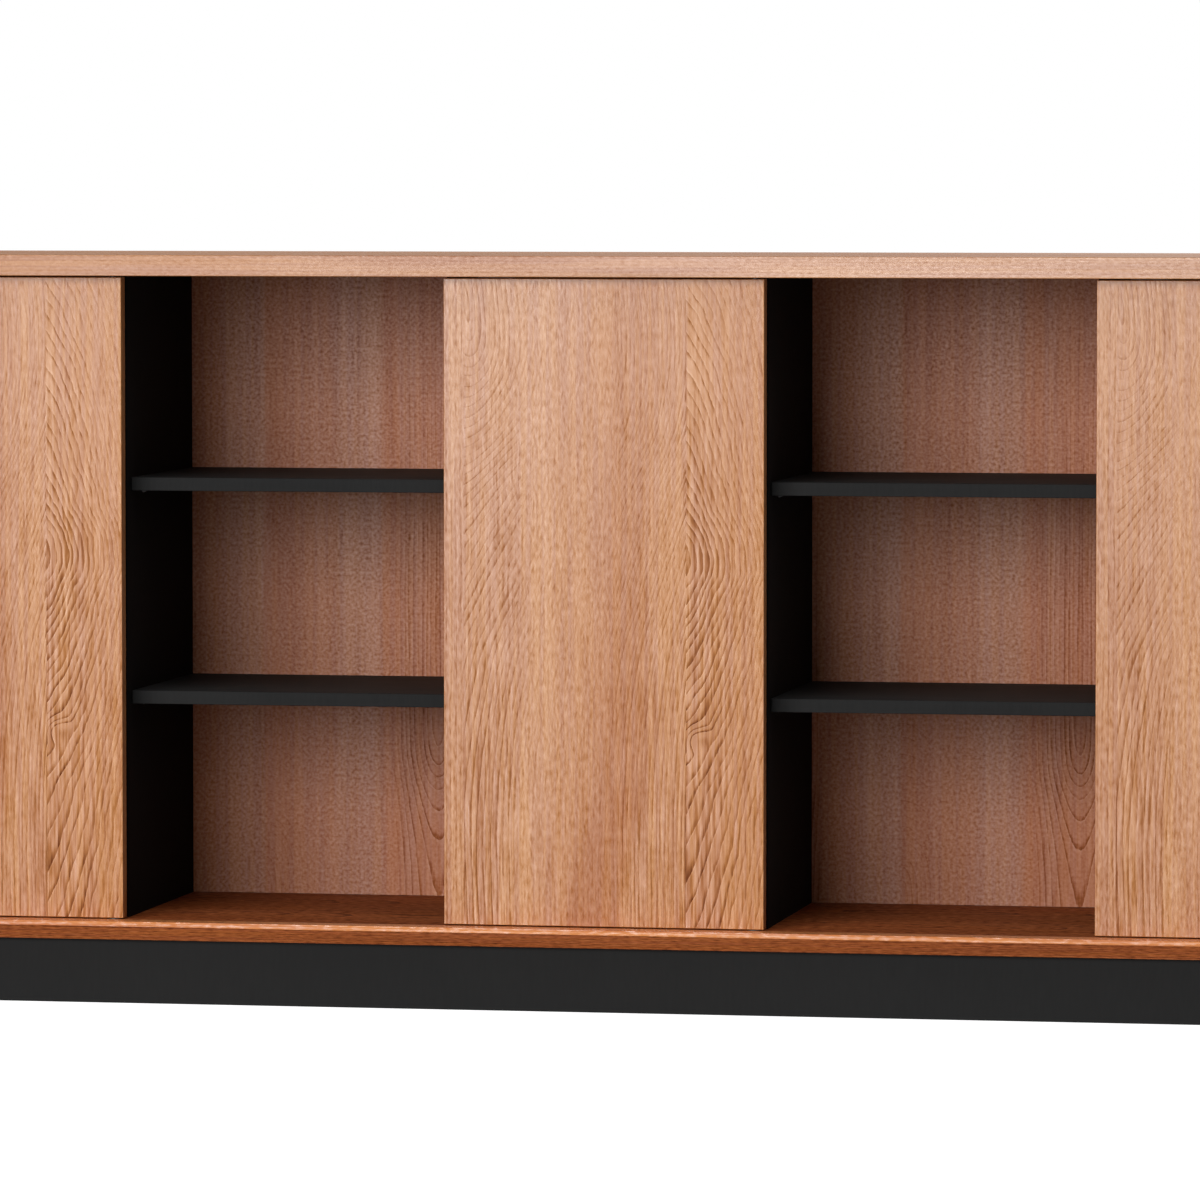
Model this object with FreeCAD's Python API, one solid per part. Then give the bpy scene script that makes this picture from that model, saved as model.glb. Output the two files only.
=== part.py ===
import FreeCAD, Part
import math
import os

from FreeCAD import Vector

# Low shelf cabinet on a plinth: five bays side by side, every second one closed by a hinged door.
# All lengths in millimetres. X runs along the cabinet, the front faces -Y, Z is up.
# The origin lies on the floor under the middle of the cabinet.

# Boards
board_thickness = 18.0
top_thickness = 25.0
base_thickness = 24.0
shelf_thickness = 16.0
door_thickness = 18.0
back_thickness = 8.0
plinth_thickness = 18.0

# Clear sizes of the bays
closed_bay_width = 352.0
open_bay_width = 392.0
lower_bay_height = 257.0
middle_bay_height = 241.0
upper_bay_height = 243.0
board_depth = 331.0

# Height of the plinth from the floor, and the projection of top and base past doors, ends and back
plinth_height = 78.0
front_overhang = 26.0
end_overhang = 26.0
rear_overhang = 10.0
plinth_recess = 30.0
plinth_rear_recess = 20.0

# Edges
arris_radius = 1.0
base_lip = 6.0
base_undercut = 20.0

# Doors: play around the leaf, and the bevel behind its free edge where fingers pull
door_reveal = 1.0
door_gap_top = 2.0
grip_width = 9.0
grip_depth = 10.0

# Door pivots
pivot_inset = 12.0
pivot_radius = 4.0
pivot_socket = 25.0
pivot_reach = 12.0
heel_clearance = 1.0
pivot_end_play = 2.0
bush_wall = 2.0
flange_width = 3.0
flange_thickness = 1.0
washer_thickness = 1.0
washer_play = 0.3

# Door catches and bumpers
catch_ear = 11.0
catch_width = 16.0
catch_wall = 2.5
catch_offset = 60.0
catch_play = 0.3
magnet_length = 22.0
magnet_width = 6.0
magnet_height = 10.0
catch_screw_radius = 1.75
catch_screw_head_radius = 3.5
catch_screw_head = 2.5
catch_screw_grip = 12.0
strike_radius = 6.0
strike_thickness = 1.5
strike_shank_radius = 2.0
strike_shank = 8.0
bumper_radius = 3.5

# Shelves and their supports
shelf_setback = 15.0
shelf_play = 1.0
support_radius = 2.5
support_length = 9.0
support_width = 10.0
support_height = 5.0

# Joints of the upright boards with top and base
cam_radius = 7.5
cam_drop = 34.0
cam_bore_radius = 4.0
bolt_radius = 3.5
bolt_tip = 3.0
bolt_thread_radius = 3.0
dowel_radius = 4.0
dowel_in_board = 22.0
base_screw_radius = 3.5
base_screw_head_radius = 5.0
base_screw_head = 4.0
base_screw_grip = 40.0

# Back panels
panel_play = 0.5
back_screw_radius = 1.75
back_screw_head_radius = 3.0
back_screw_head = 2.0
back_screw_grip = 20.0

# Plinth blocks, their screws and the glides
block_size = 30.0
block_height = 50.0
block_screw_radius = 2.0
block_screw_head_radius = 4.0
block_screw_head = 3.0
glide_radius = 7.0
glide_thickness = 2.0
glide_proud = 0.5
glide_nail_radius = 1.5
glide_nail = 12.0

# Radial play of fixed fittings and of running ones, how far a cutter runs past a face,
# and how close two places count as one
fit_clearance = 0.05
running_clearance = 0.08
overrun = 1.0
same_place = 0.01

# Places along a board, a shelf, a door and a block, as shares of the size that they lie on
cam_shares = (0.20, 0.80)
dowel_shares = (0.08, 0.92)
support_shares = (0.20, 0.80)
bumper_shares = (0.06, 0.94)
back_screw_shares = (0.06, 0.36, 0.64, 0.94)
block_side_share = 0.30
block_post_share = 0.70

# Depths of holes, as shares of the board that they are bored into
support_seat_share = 0.40
cam_depth_share = 0.70
bolt_grip_share = 0.45
dowel_panel_share = 0.50
block_screw_share = 0.65

# Bays from left to right
bay_closed = (True, False, True, False, True)
bay_widths = tuple(closed_bay_width if closed else open_bay_width for closed in bay_closed)
board_names = ("end_panel_left", "divider_1", "divider_2", "divider_3", "divider_4", "end_panel_right")
door_names = ("left", "centre", "right")

# Sizes that follow
carcass_length = sum(bay_widths) + len(board_names) * board_thickness
length = carcass_length + 2 * end_overhang
heel_swing = math.hypot(pivot_inset, door_thickness / 2) - door_thickness / 2
heel_gap = heel_swing + heel_clearance
depth = front_overhang + door_thickness + heel_gap + board_depth + back_thickness + rear_overhang
pivot_hole_radius = pivot_radius + running_clearance
bush_radius = pivot_hole_radius + bush_wall
bush_depth = pivot_reach + pivot_end_play
flange_radius = bush_radius + flange_width
door_gap_low = washer_thickness + washer_play
cam_depth = board_thickness * cam_depth_share
support_seat = board_thickness * support_seat_share
bolt_grip = top_thickness * bolt_grip_share
block_screw_grip = plinth_thickness * block_screw_share
catch_length = magnet_length + 2 * catch_ear

# Places across the depth
front = -depth / 2
rear = depth / 2
door_front = front + front_overhang
door_back = door_front + door_thickness
board_front = door_back + heel_gap
board_back = board_front + board_depth
panel_back = board_back + back_thickness
pivot_y = door_front + door_thickness / 2
plinth_front = front + plinth_recess
plinth_back = rear - plinth_rear_recess
shelf_front = board_front + shelf_setback
shelf_back = board_back - shelf_play

# Places up the height
base_low = plinth_height
base_top = base_low + base_thickness
lower_shelf = base_top + lower_bay_height
upper_shelf = lower_shelf + shelf_thickness + middle_bay_height
top_low = upper_shelf + shelf_thickness + upper_bay_height
top_face = top_low + top_thickness
door_low = base_top + door_gap_low
door_top = top_low - door_gap_top

# Places along the length: the left face of each upright board, from which bays and doors follow
board_lefts = [-carcass_length / 2]
for bay_width in bay_widths:
    board_lefts.append(board_lefts[-1] + board_thickness + bay_width)
closed_bays = [bay for bay, closed in enumerate(bay_closed) if closed]
plinth_end = length / 2 - plinth_recess
cross_places = [board_lefts[2] + board_thickness / 2, board_lefts[3] + board_thickness / 2]

fittings = {}
bores = {}


def block(low, high):
    """Box between its lowest and highest corners."""
    size = high - low
    return Part.makeBox(size.x, size.y, size.z, low)


def peg(radius, start, end):
    """Round rod between two points on its axis."""
    along = end - start
    return Part.makeCylinder(radius, along.Length, start, along)


def tube(radius, hole_radius, start, end):
    """Round tube between two points on its axis."""
    past = (end - start) * (overrun / (end - start).Length)
    return peg(radius, start, end).cut(peg(hole_radius, start - past, end + past)).Solids[0]


def prism(corners, along):
    """Solid swept from a closed outline."""
    outline = Part.makePolygon(corners + corners[:1])
    return Part.Face(outline).extrude(along)


def joined(*solids):
    """One solid made of solids that meet."""
    return solids[0].fuse(list(solids[1:])).removeSplitter().Solids[0]


def lies_on(edge, axis, place):
    """Whether an edge lies in the plane where one coordinate has the given value."""
    return all(abs(getattr(vertex.Point, axis) - place) < same_place for vertex in edge.Vertexes)


def eased(solid, edges):
    """Solid with the given edges rounded to the arris radius."""
    return solid.makeFillet(arris_radius, edges)


def place_along(start, end, share):
    """Place between two others, by its share of the way."""
    return start + (end - start) * share


def add_fitting(node, *solids):
    """Keep one fitting, joined from its pieces, with its like."""
    fitting = joined(*solids) if len(solids) > 1 else solids[0]
    fittings.setdefault(node, []).append(fitting)


def bore(board, radius, mouth, bottom):
    """Note a round hole to be bored into a board from its mouth to its bottom, with play all round."""
    inward = (bottom - mouth) * (1 / (bottom - mouth).Length)
    cutter = peg(radius + fit_clearance, mouth - inward * overrun, bottom + inward * fit_clearance)
    bores.setdefault(board, []).append(cutter)


def cut_pocket(board, pocket):
    """Note a pocket of any shape to be cut into a board."""
    bores.setdefault(board, []).append(pocket)


def save(node, solids):
    """Write one node, with the holes that its fittings need."""
    if node in bores:
        solids = [solid.cut(bores[node]).Solids[0] for solid in solids]
    shape = solids[0] if len(solids) == 1 else Part.makeCompound(solids)
    shape.exportStep(f"parts/{node}.step")


def screw(node, radius, head_radius, head, start, end, countersunk=False):
    """Add a screw whose head is sunk flush at its start."""
    inward = (end - start) * (1 / (end - start).Length)
    neck = start + inward * head
    cap = peg(head_radius, start, neck)
    if countersunk:
        cap = Part.makeCone(head_radius, radius, head, start, inward)
    add_fitting(node, cap, peg(radius, neck, end))


def seat_screw(board, radius, head_radius, head, start, end, countersunk=False):
    """Bore a board right through for a screw, with a seat for its head."""
    inward = (end - start) * (1 / (end - start).Length)
    bore(board, radius, start, end + inward * overrun)
    if countersunk:
        rim = head_radius + fit_clearance
        seat = Part.makeCone(rim, radius + fit_clearance, head, start, inward)
        cut_pocket(board, seat)
        return
    bore(board, head_radius, start, start + inward * head)


def fit_upright_boards():
    """Cams, bolts, dowels and screws that hold each upright board between top and base."""
    for index, (board, left) in enumerate(zip(board_names, board_lefts)):
        middle = left + board_thickness / 2
        opens_right = index < len(bay_closed) and bay_closed[index]
        face = left + board_thickness if opens_right else left
        inward = Vector(-1 if opens_right else 1, 0, 0)
        for share in cam_shares:
            y = place_along(board_front, board_back, share)
            hub = Vector(face, y, top_low - cam_drop)
            axis = Vector(middle, y, top_low - cam_drop)
            edge = Vector(middle, y, top_low)
            tip = axis - Vector(0, 0, bolt_tip)
            grip = edge + Vector(0, 0, bolt_grip)
            cam = peg(cam_radius, hub, hub + inward * cam_depth)
            bolt_way = peg(cam_bore_radius, tip - Vector(0, 0, overrun), edge)
            add_fitting("cam_housings", cam.cut(bolt_way).Solids[0])
            add_fitting("cam_bolts", peg(bolt_radius, tip, edge), peg(bolt_thread_radius, edge, grip))
            bore(board, cam_radius, hub, hub + inward * cam_depth)
            bore(board, bolt_radius, edge, axis)
            bore("top_panel", bolt_thread_radius, edge, grip)
            foot = Vector(middle, y, base_low)
            floor = Vector(middle, y, base_top)
            end = floor + Vector(0, 0, base_screw_grip)
            sizes = (base_screw_radius, base_screw_head_radius, base_screw_head)
            screw("base_screws", *sizes, foot, end)
            seat_screw("base_panel", *sizes, foot, floor)
            bore(board, base_screw_radius, floor, end)
        for share in dowel_shares:
            y = place_along(board_front, board_back, share)
            for node, panel, thickness, height, sense in (
                ("top_dowels", "top_panel", top_thickness, top_low, 1),
                ("base_dowels", "base_panel", base_thickness, base_top, -1),
            ):
                mouth = Vector(middle, y, height)
                in_panel = mouth + Vector(0, 0, sense * thickness * dowel_panel_share)
                in_board = mouth - Vector(0, 0, sense * dowel_in_board)
                add_fitting(node, peg(dowel_radius, in_board, in_panel))
                bore(panel, dowel_radius, mouth, in_panel)
                bore(board, dowel_radius, mouth, in_board)


def make_shelves():
    """Two loose shelves in each bay, and the four supports that each lies on."""
    for bay, (left, right) in enumerate(zip(board_lefts, board_lefts[1:])):
        bay_left = left + board_thickness
        sides = ((board_names[bay], bay_left, 1), (board_names[bay + 1], right, -1))
        for level, low in (("lower", lower_shelf), ("upper", upper_shelf)):
            shelf = block(
                Vector(bay_left + shelf_play, shelf_front, low),
                Vector(right - shelf_play, shelf_back, low + shelf_thickness),
            )
            front_edges = [edge for edge in shelf.Edges if lies_on(edge, "y", shelf_front)]
            save(f"shelf_{bay + 1}_{level}", [eased(shelf, front_edges)])
            for share in support_shares:
                y = place_along(shelf_front, shelf_back, share)
                for board, face, sense in sides:
                    fit_support(board, Vector(face, y, low), sense)


def fit_support(board, seat, sense):
    """Add one shelf support: a peg in the board, and a flat arm under the shelf."""
    axis = seat - Vector(0, 0, support_height / 2)
    root = axis - Vector(sense * support_seat, 0, 0)
    arm_end = seat.x + sense * support_length
    arm = block(
        Vector(min(seat.x, arm_end), seat.y - support_width / 2, seat.z - support_height),
        Vector(max(seat.x, arm_end), seat.y + support_width / 2, seat.z),
    )
    add_fitting("shelf_supports", peg(support_radius, axis, root), arm)
    bore(board, support_radius, axis, root)


def make_back():
    """One back panel for each bay, screwed to the rear edges of the upright boards."""
    low = base_top + panel_play
    high = top_low - panel_play
    sizes = (back_screw_radius, back_screw_head_radius, back_screw_head)
    last = len(bay_widths) - 1
    for bay, (left, right) in enumerate(zip(board_lefts, board_lefts[1:])):
        panel = f"back_panel_{bay + 1}"
        panel_left = left if bay == 0 else left + board_thickness / 2 + panel_play / 2
        panel_right = right + board_thickness / 2 - panel_play / 2
        if bay == last:
            panel_right = right + board_thickness
        strips = (
            (board_names[bay], (panel_left + left + board_thickness) / 2),
            (board_names[bay + 1], (right + panel_right) / 2),
        )
        for share in back_screw_shares:
            z = place_along(low, high, share)
            for board, x in strips:
                head = Vector(x, panel_back, z)
                face = Vector(x, board_back, z)
                end = face - Vector(0, back_screw_grip, 0)
                screw("back_screws", *sizes, head, end, countersunk=True)
                seat_screw(panel, *sizes, head, face, countersunk=True)
                bore(board, back_screw_radius, face, end)
        save(panel, [block(Vector(panel_left, board_back, low), Vector(panel_right, panel_back, high))])


def make_doors():
    """Three like doors that turn on pins at their right edge, with their bushes, catches and bumpers."""
    for name, bay in zip(door_names, closed_bays):
        left = board_lefts[bay] + door_reveal
        right = board_lefts[bay + 1] + board_thickness - door_reveal
        fit_pivots(name, right - pivot_inset)
        fit_catch(name, left + catch_offset)
        fit_bumpers(left)
        leaf = prism(
            [
                Vector(left, door_front, door_low),
                Vector(right, door_front, door_low),
                Vector(right, door_back, door_low),
                Vector(left + grip_width, door_back, door_low),
                Vector(left, door_back - grip_depth, door_low),
            ],
            Vector(0, 0, door_top - door_low),
        )
        front_edges = [edge for edge in leaf.Edges if lies_on(edge, "y", door_front)]
        save(f"door_{name}", [eased(leaf, front_edges)])


def fit_pivots(name, x):
    """Add the two pivot pins of a door, and the bushes that they turn in, flanged and let in flush."""
    for end, edge, seat, sense, panel in (
        ("upper", door_top, top_low, 1, "top_panel"),
        ("lower", door_low, base_top, -1, "base_panel"),
    ):
        up = Vector(0, 0, sense)
        rim = Vector(x, pivot_y, seat)
        mouth = Vector(x, pivot_y, edge)
        root = mouth - up * pivot_socket
        add_fitting(f"pivot_{name}_{end}", peg(pivot_radius, root, rim + up * pivot_reach))
        bore(f"door_{name}", pivot_radius, mouth, root)
        flange_seat = rim + up * flange_thickness
        sleeve = tube(bush_radius, pivot_hole_radius, rim, rim + up * bush_depth)
        flange = tube(flange_radius, pivot_hole_radius, rim, flange_seat)
        add_fitting(f"pivot_bushes_{end}", sleeve, flange)
        bore(panel, bush_radius, rim, rim + up * bush_depth)
        bore(panel, flange_radius, rim, flange_seat)
        if end == "lower":
            washer_face = rim - up * washer_thickness
            add_fitting("pivot_washers", tube(flange_radius, pivot_hole_radius, rim, washer_face))


def fit_catch(name, x):
    """Add the magnetic catch under the top that holds a door shut, and its strike in the door."""
    near = door_back + catch_play
    half = catch_length / 2
    magnet_z = door_top - strike_radius - strike_thickness
    low = magnet_z - magnet_height / 2 - catch_wall
    housing = block(Vector(x - half, near, low), Vector(x + half, near + catch_width, top_low))
    magnet_low = Vector(x - magnet_length / 2, near, magnet_z - magnet_height / 2)
    magnet_high = Vector(x + magnet_length / 2, near + magnet_width, magnet_z + magnet_height / 2)
    play = Vector(fit_clearance, fit_clearance, fit_clearance)
    pocket = block(magnet_low - play - Vector(0, overrun, 0), magnet_high + play)
    add_fitting("catch_magnets", block(magnet_low, magnet_high))
    sizes = (catch_screw_radius, catch_screw_head_radius, catch_screw_head)
    for screw_x in (x - half + catch_ear / 2, x + half - catch_ear / 2):
        foot = Vector(screw_x, near + catch_width / 2, low)
        seat = Vector(screw_x, near + catch_width / 2, top_low)
        end = seat + Vector(0, 0, catch_screw_grip)
        screw("catch_screws", *sizes, foot, end)
        seat_screw(f"catch_{name}", *sizes, foot, seat)
        bore("top_panel", catch_screw_radius, seat, end)
    add_fitting("catch_housings", housing.cut([pocket] + bores.pop(f"catch_{name}")).Solids[0])
    face = Vector(x, door_back, magnet_z)
    seat = face - Vector(0, strike_thickness, 0)
    end = seat - Vector(0, strike_shank, 0)
    add_fitting(f"strike_{name}", peg(strike_radius, face, seat), peg(strike_shank_radius, seat, end))
    bore(f"door_{name}", strike_radius, face, seat)
    bore(f"door_{name}", strike_shank_radius, face, end)


def fit_bumpers(left):
    """Add the soft bumpers that a closed door rests against, on the board behind its free edge."""
    flat_start = left + grip_width
    flat_end = left - door_reveal + board_thickness
    for share in bumper_shares:
        foot = Vector((flat_start + flat_end) / 2, board_front, place_along(door_low, door_top, share))
        add_fitting("door_bumpers", peg(bumper_radius, foot, foot - Vector(0, heel_gap - catch_play, 0)))


def make_uprights():
    """The two ends and the four dividers."""
    for board, left in zip(board_names, board_lefts):
        right = left + board_thickness
        upright = block(Vector(left, board_front, base_top), Vector(right, board_back, top_low))
        front_edges = [edge for edge in upright.Edges if lies_on(edge, "y", board_front)]
        save(board, [eased(upright, front_edges)])


def make_top_and_base():
    """The top, square-edged, and the base, whose edge leans back under a narrow lip at front and ends."""
    end = length / 2
    top = block(Vector(-end, front, top_low), Vector(end, rear, top_face))
    save("top_panel", [eased(top, top.Edges)])
    lip_low = base_top - base_lip
    section = [
        Vector(-end, front, base_top),
        Vector(-end, front, lip_low),
        Vector(-end, front + base_undercut, base_low),
        Vector(-end, rear, base_low),
        Vector(-end, rear, base_top),
    ]
    elevation = [
        Vector(-end, front, base_top),
        Vector(-end, front, lip_low),
        Vector(-end + base_undercut, front, base_low),
        Vector(end - base_undercut, front, base_low),
        Vector(end, front, lip_low),
        Vector(end, front, base_top),
    ]
    base = prism(section, Vector(length, 0, 0)).common(prism(elevation, Vector(0, depth, 0))).Solids[0]
    upper_edges = [edge for edge in base.Edges if lies_on(edge, "z", base_top)]
    save("base_panel", [eased(base, upper_edges)])


def make_plinth():
    """Plinth frame of rails on edge, set back under the base, with its blocks, screws and glides."""
    low = glide_proud
    inner_front = plinth_front + plinth_thickness
    inner_back = plinth_back - plinth_thickness
    half = plinth_thickness / 2
    for node, near in (("plinth_front", plinth_front), ("plinth_back", inner_back)):
        for x in [half - plinth_end] + cross_places + [plinth_end - half]:
            fit_glide(node, Vector(x, near + half, low))
    ends = [
        ("plinth_left", half - plinth_end, 1),
        ("plinth_cross_1", cross_places[0], 1),
        ("plinth_cross_2", cross_places[1], -1),
        ("plinth_right", plinth_end - half, -1),
    ]
    for node, x, side in ends:
        fit_plinth_block("plinth_front", node, Vector(x + side * half, inner_front, base_low), side, 1)
        fit_plinth_block("plinth_back", node, Vector(x + side * half, inner_back, base_low), side, -1)
        save(node, [block(Vector(x - half, inner_front, low), Vector(x + half, inner_back, base_low))])
    for node, near in (("plinth_front", plinth_front), ("plinth_back", inner_back)):
        rail = block(Vector(-plinth_end, near, low), Vector(plinth_end, near + plinth_thickness, base_low))
        upright_edges = [edge for edge in rail.Edges if edge.BoundBox.ZLength > same_place]
        save(node, [eased(rail, upright_edges)])


def fit_glide(rail, foot):
    """Add a glide let into the underside of a rail and nailed there."""
    seat = foot + Vector(0, 0, glide_thickness - glide_proud)
    tip = seat + Vector(0, 0, glide_nail)
    disc = peg(glide_radius, Vector(foot.x, foot.y, 0), seat)
    add_fitting("floor_glides", disc, peg(glide_nail_radius, seat, tip))
    bore(rail, glide_radius, foot, seat)
    bore(rail, glide_nail_radius, seat, tip)


def fit_plinth_block(rail, end_rail, corner, side, sense):
    """Add a block in an inner corner of the plinth, screwed to both rails and up into the base."""
    across = Vector(side * block_size, 0, 0)
    along = Vector(0, sense * block_size, 0)
    down = Vector(0, 0, -block_height)
    points = [corner, corner + across + along + down]
    low = Vector(*(min(values) for values in zip(*points)))
    high = Vector(*(max(values) for values in zip(*points)))
    sizes = (block_screw_radius, block_screw_head_radius, block_screw_head)
    near, far = block_side_share, block_post_share
    name = "block_holes"
    for board, start, face in (
        (rail, corner + across * near + along + down * far, corner + across * near + down * far),
        (end_rail, corner + across + along * near + down * near, corner + along * near + down * near),
        ("base_panel", corner + (across + along) * far + down, corner + (across + along) * far),
    ):
        end = face + (face - start) * (block_screw_grip / (face - start).Length)
        screw("plinth_screws", *sizes, start, end)
        seat_screw(name, *sizes, start, face)
        bore(board, block_screw_radius, face, end)
    add_fitting("plinth_blocks", block(low, high).cut(bores.pop(name)).Solids[0])


os.makedirs("parts", exist_ok=True)
fit_upright_boards()
make_shelves()
make_back()
make_doors()
make_plinth()
make_uprights()
make_top_and_base()
for group, solids in fittings.items():
    save(group, solids)
print(f"cabinet {length:.1f} x {depth:.1f} x {top_face:.1f} mm, door {door_top - door_low:.1f} mm tall")
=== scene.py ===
"""Looks of the shelf cabinet: oak veneers, black boards and formed fittings, with camera and light."""

import logging
import math
from abc import ABC, abstractmethod
from collections.abc import Iterable, Mapping, Sequence
from dataclasses import dataclass
from enum import Enum
from typing import Any, NamedTuple

import bmesh
import bpy
import numpy as np
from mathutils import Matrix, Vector


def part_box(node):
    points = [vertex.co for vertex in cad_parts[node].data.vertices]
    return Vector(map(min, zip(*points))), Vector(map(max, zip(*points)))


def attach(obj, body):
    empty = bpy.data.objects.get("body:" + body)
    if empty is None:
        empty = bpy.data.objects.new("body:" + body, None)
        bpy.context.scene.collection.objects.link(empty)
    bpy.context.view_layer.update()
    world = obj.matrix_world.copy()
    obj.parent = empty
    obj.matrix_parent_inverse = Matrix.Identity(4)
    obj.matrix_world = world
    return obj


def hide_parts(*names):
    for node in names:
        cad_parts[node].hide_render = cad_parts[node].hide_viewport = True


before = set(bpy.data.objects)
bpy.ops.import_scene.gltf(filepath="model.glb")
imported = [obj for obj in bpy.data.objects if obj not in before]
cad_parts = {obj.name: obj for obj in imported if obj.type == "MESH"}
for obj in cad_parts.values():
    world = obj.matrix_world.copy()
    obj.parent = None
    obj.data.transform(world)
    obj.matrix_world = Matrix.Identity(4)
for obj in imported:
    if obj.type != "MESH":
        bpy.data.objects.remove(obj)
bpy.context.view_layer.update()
MERGE_DISTANCE = 1e-6
MILLIMETRE = 0.001
RIGHT = (1.0, 0.0, 0.0)
# Slope below which a ring line grows no wider
SLOWEST_PACE = 0.36
# Lacquer over the wood, and the wood's own gloss
FILM_IOR = 1.75
BARE_SPECULAR = 0.05
# Distance after which the figure of the backs repeats
BACK_REPEAT = 0.3995
# Shares of the CAD radius that a formed fitting and the core of a thread fill
SNUG = 0.985
CORE = 0.76
# Angle between faces below which an edge is shaded smooth
SOFT_ANGLE = math.radians(38)

log = logging.getLogger("cabinet")

Colour = tuple[float, float, float, float]
Run = tuple[float, float]
Curve = tuple[Run, ...]


def tone(red: int, green: int, blue: int) -> Colour:
    """Turn a colour as it is seen, from 0 to 255, into the linear values that shaders take.

    Args:
        red: Red share of the seen colour.
        green: Green share of the seen colour.
        blue: Blue share of the seen colour.

    Returns:
        Linear red, green and blue, and a full alpha.
    """
    def linear(value: int) -> float:
        """One channel of the seen colour as light."""
        share = value / 255
        return share / 12.92 if share <= 0.04045 else ((share + 0.055) / 1.055) ** 2.4

    return (linear(red), linear(green), linear(blue), 1.0)


class Signal:
    """A socket of a node tree. Sums and products on it add Math nodes."""

    def __init__(self, sheet: "Sheet", socket: bpy.types.NodeSocket) -> None:
        """Hold the socket and the sheet that it lies on."""
        self.sheet = sheet
        self.socket = socket

    def math(self, operation: str, *others: "Signal | float") -> "Signal":
        """Apply a Math operation to this value and up to two others.

        Args:
            operation: Name of the Math node's operation.
            others: Its second and third operands.

        Returns:
            The result.
        """
        return self.sheet.add("ShaderNodeMath", {"operation": operation}, dict(enumerate((self, *others))))

    def turned(self, operation: str, other: float) -> "Signal":
        """Apply a Math operation with this value as its second operand."""
        return self.sheet.add("ShaderNodeMath", {"operation": operation}, {0: other, 1: self})

    def __add__(self, other: "Signal | float") -> "Signal":
        """Sum."""
        return self.math("ADD", other)

    def __sub__(self, other: "Signal | float") -> "Signal":
        """Difference."""
        return self.math("SUBTRACT", other)

    def __rsub__(self, other: float) -> "Signal":
        """Difference from a number."""
        return self.turned("SUBTRACT", other)

    def __mul__(self, other: "Signal | float") -> "Signal":
        """Product."""
        return self.math("MULTIPLY", other)

    def __truediv__(self, other: "Signal | float") -> "Signal":
        """Quotient."""
        return self.math("DIVIDE", other)

    def __rtruediv__(self, other: float) -> "Signal":
        """Quotient of a number."""
        return self.turned("DIVIDE", other)

    __radd__ = __add__
    __rmul__ = __mul__


def fade(share: Signal | float, start: float, end: float) -> Signal | float:
    """Value on the straight way from a start, at a share of 0, to an end, at a share of 1."""
    return share * (end - start) + start


def between(first: Signal, second: Signal | float, share: Signal) -> Signal:
    """Value that a share of 0 leaves at the first and a share of 1 brings to the second."""
    return first + (second - first) * share


class Weave(NamedTuple):
    """A noise that is stretched along the grain of the wood.

    Attributes:
        across: Features in one metre across the grain.
        along: Features in one metre along it.
        detail: Finer layers of the noise.
    """

    across: float
    along: float
    detail: float = 2.0


class Sheet:
    """A node tree that is drawn by plain calls."""

    def __init__(self, tree: bpy.types.NodeTree) -> None:
        """Hold the tree."""
        self.tree = tree

    def add(
        self,
        kind: str,
        settings: Mapping[str, Any] | None = None,
        sockets: Mapping[str | int, Any] | None = None,
        out: str | int = 0,
    ) -> Signal | None:
        """Add one node.

        Args:
            kind: Type name of the node.
            settings: Its properties, with a ramp's "stops", a curve's "points" or a switch's "items".
            sockets: Values or signals for its inputs, by name or place.
            out: Which output to return.

        Returns:
            The chosen output, or nothing for a node that ends the tree.
        """
        node = self.tree.nodes.new(kind)
        for name, value in (settings or {}).items():
            if name == "stops":
                self._set_stops(node.color_ramp.elements, value)
            elif name == "points":
                self._set_points(node.mapping, value)
            elif name == "items":
                self._set_items(node.index_switch_items, value)
            else:
                setattr(node, name, value)
        for key, value in (sockets or {}).items():
            if isinstance(value, Signal):
                self.tree.links.new(value.socket, node.inputs[key])
            else:
                node.inputs[key].default_value = value
        return Signal(self, node.outputs[out]) if node.outputs else None

    def point(self, x: Signal | float, y: Signal | float, z: Signal | float = 0.0) -> Signal:
        """A place from its three parts."""
        return self.add("ShaderNodeCombineXYZ", sockets={0: x, 1: y, 2: z})

    @staticmethod
    def _set_stops(elements: Any, stops: Sequence[tuple[float, Colour]]) -> None:
        """Give a colour ramp its stops."""
        while len(elements) < len(stops):
            elements.new(1.0)
        for element, (place, colour) in zip(elements, stops):
            element.position = place
            element.color = colour

    @staticmethod
    def _set_points(mapping: Any, points: Curve) -> None:
        """Give a curve its points."""
        curve = mapping.curves[0].points
        while len(curve) < len(points):
            curve.new(0.5, 0.5)
        for spot, place in zip(curve, points):
            spot.location = place
        mapping.update()

    @staticmethod
    def _set_items(items: Any, count: int) -> None:
        """Give a switch its number of items."""
        while len(items) < count:
            items.new()


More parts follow.
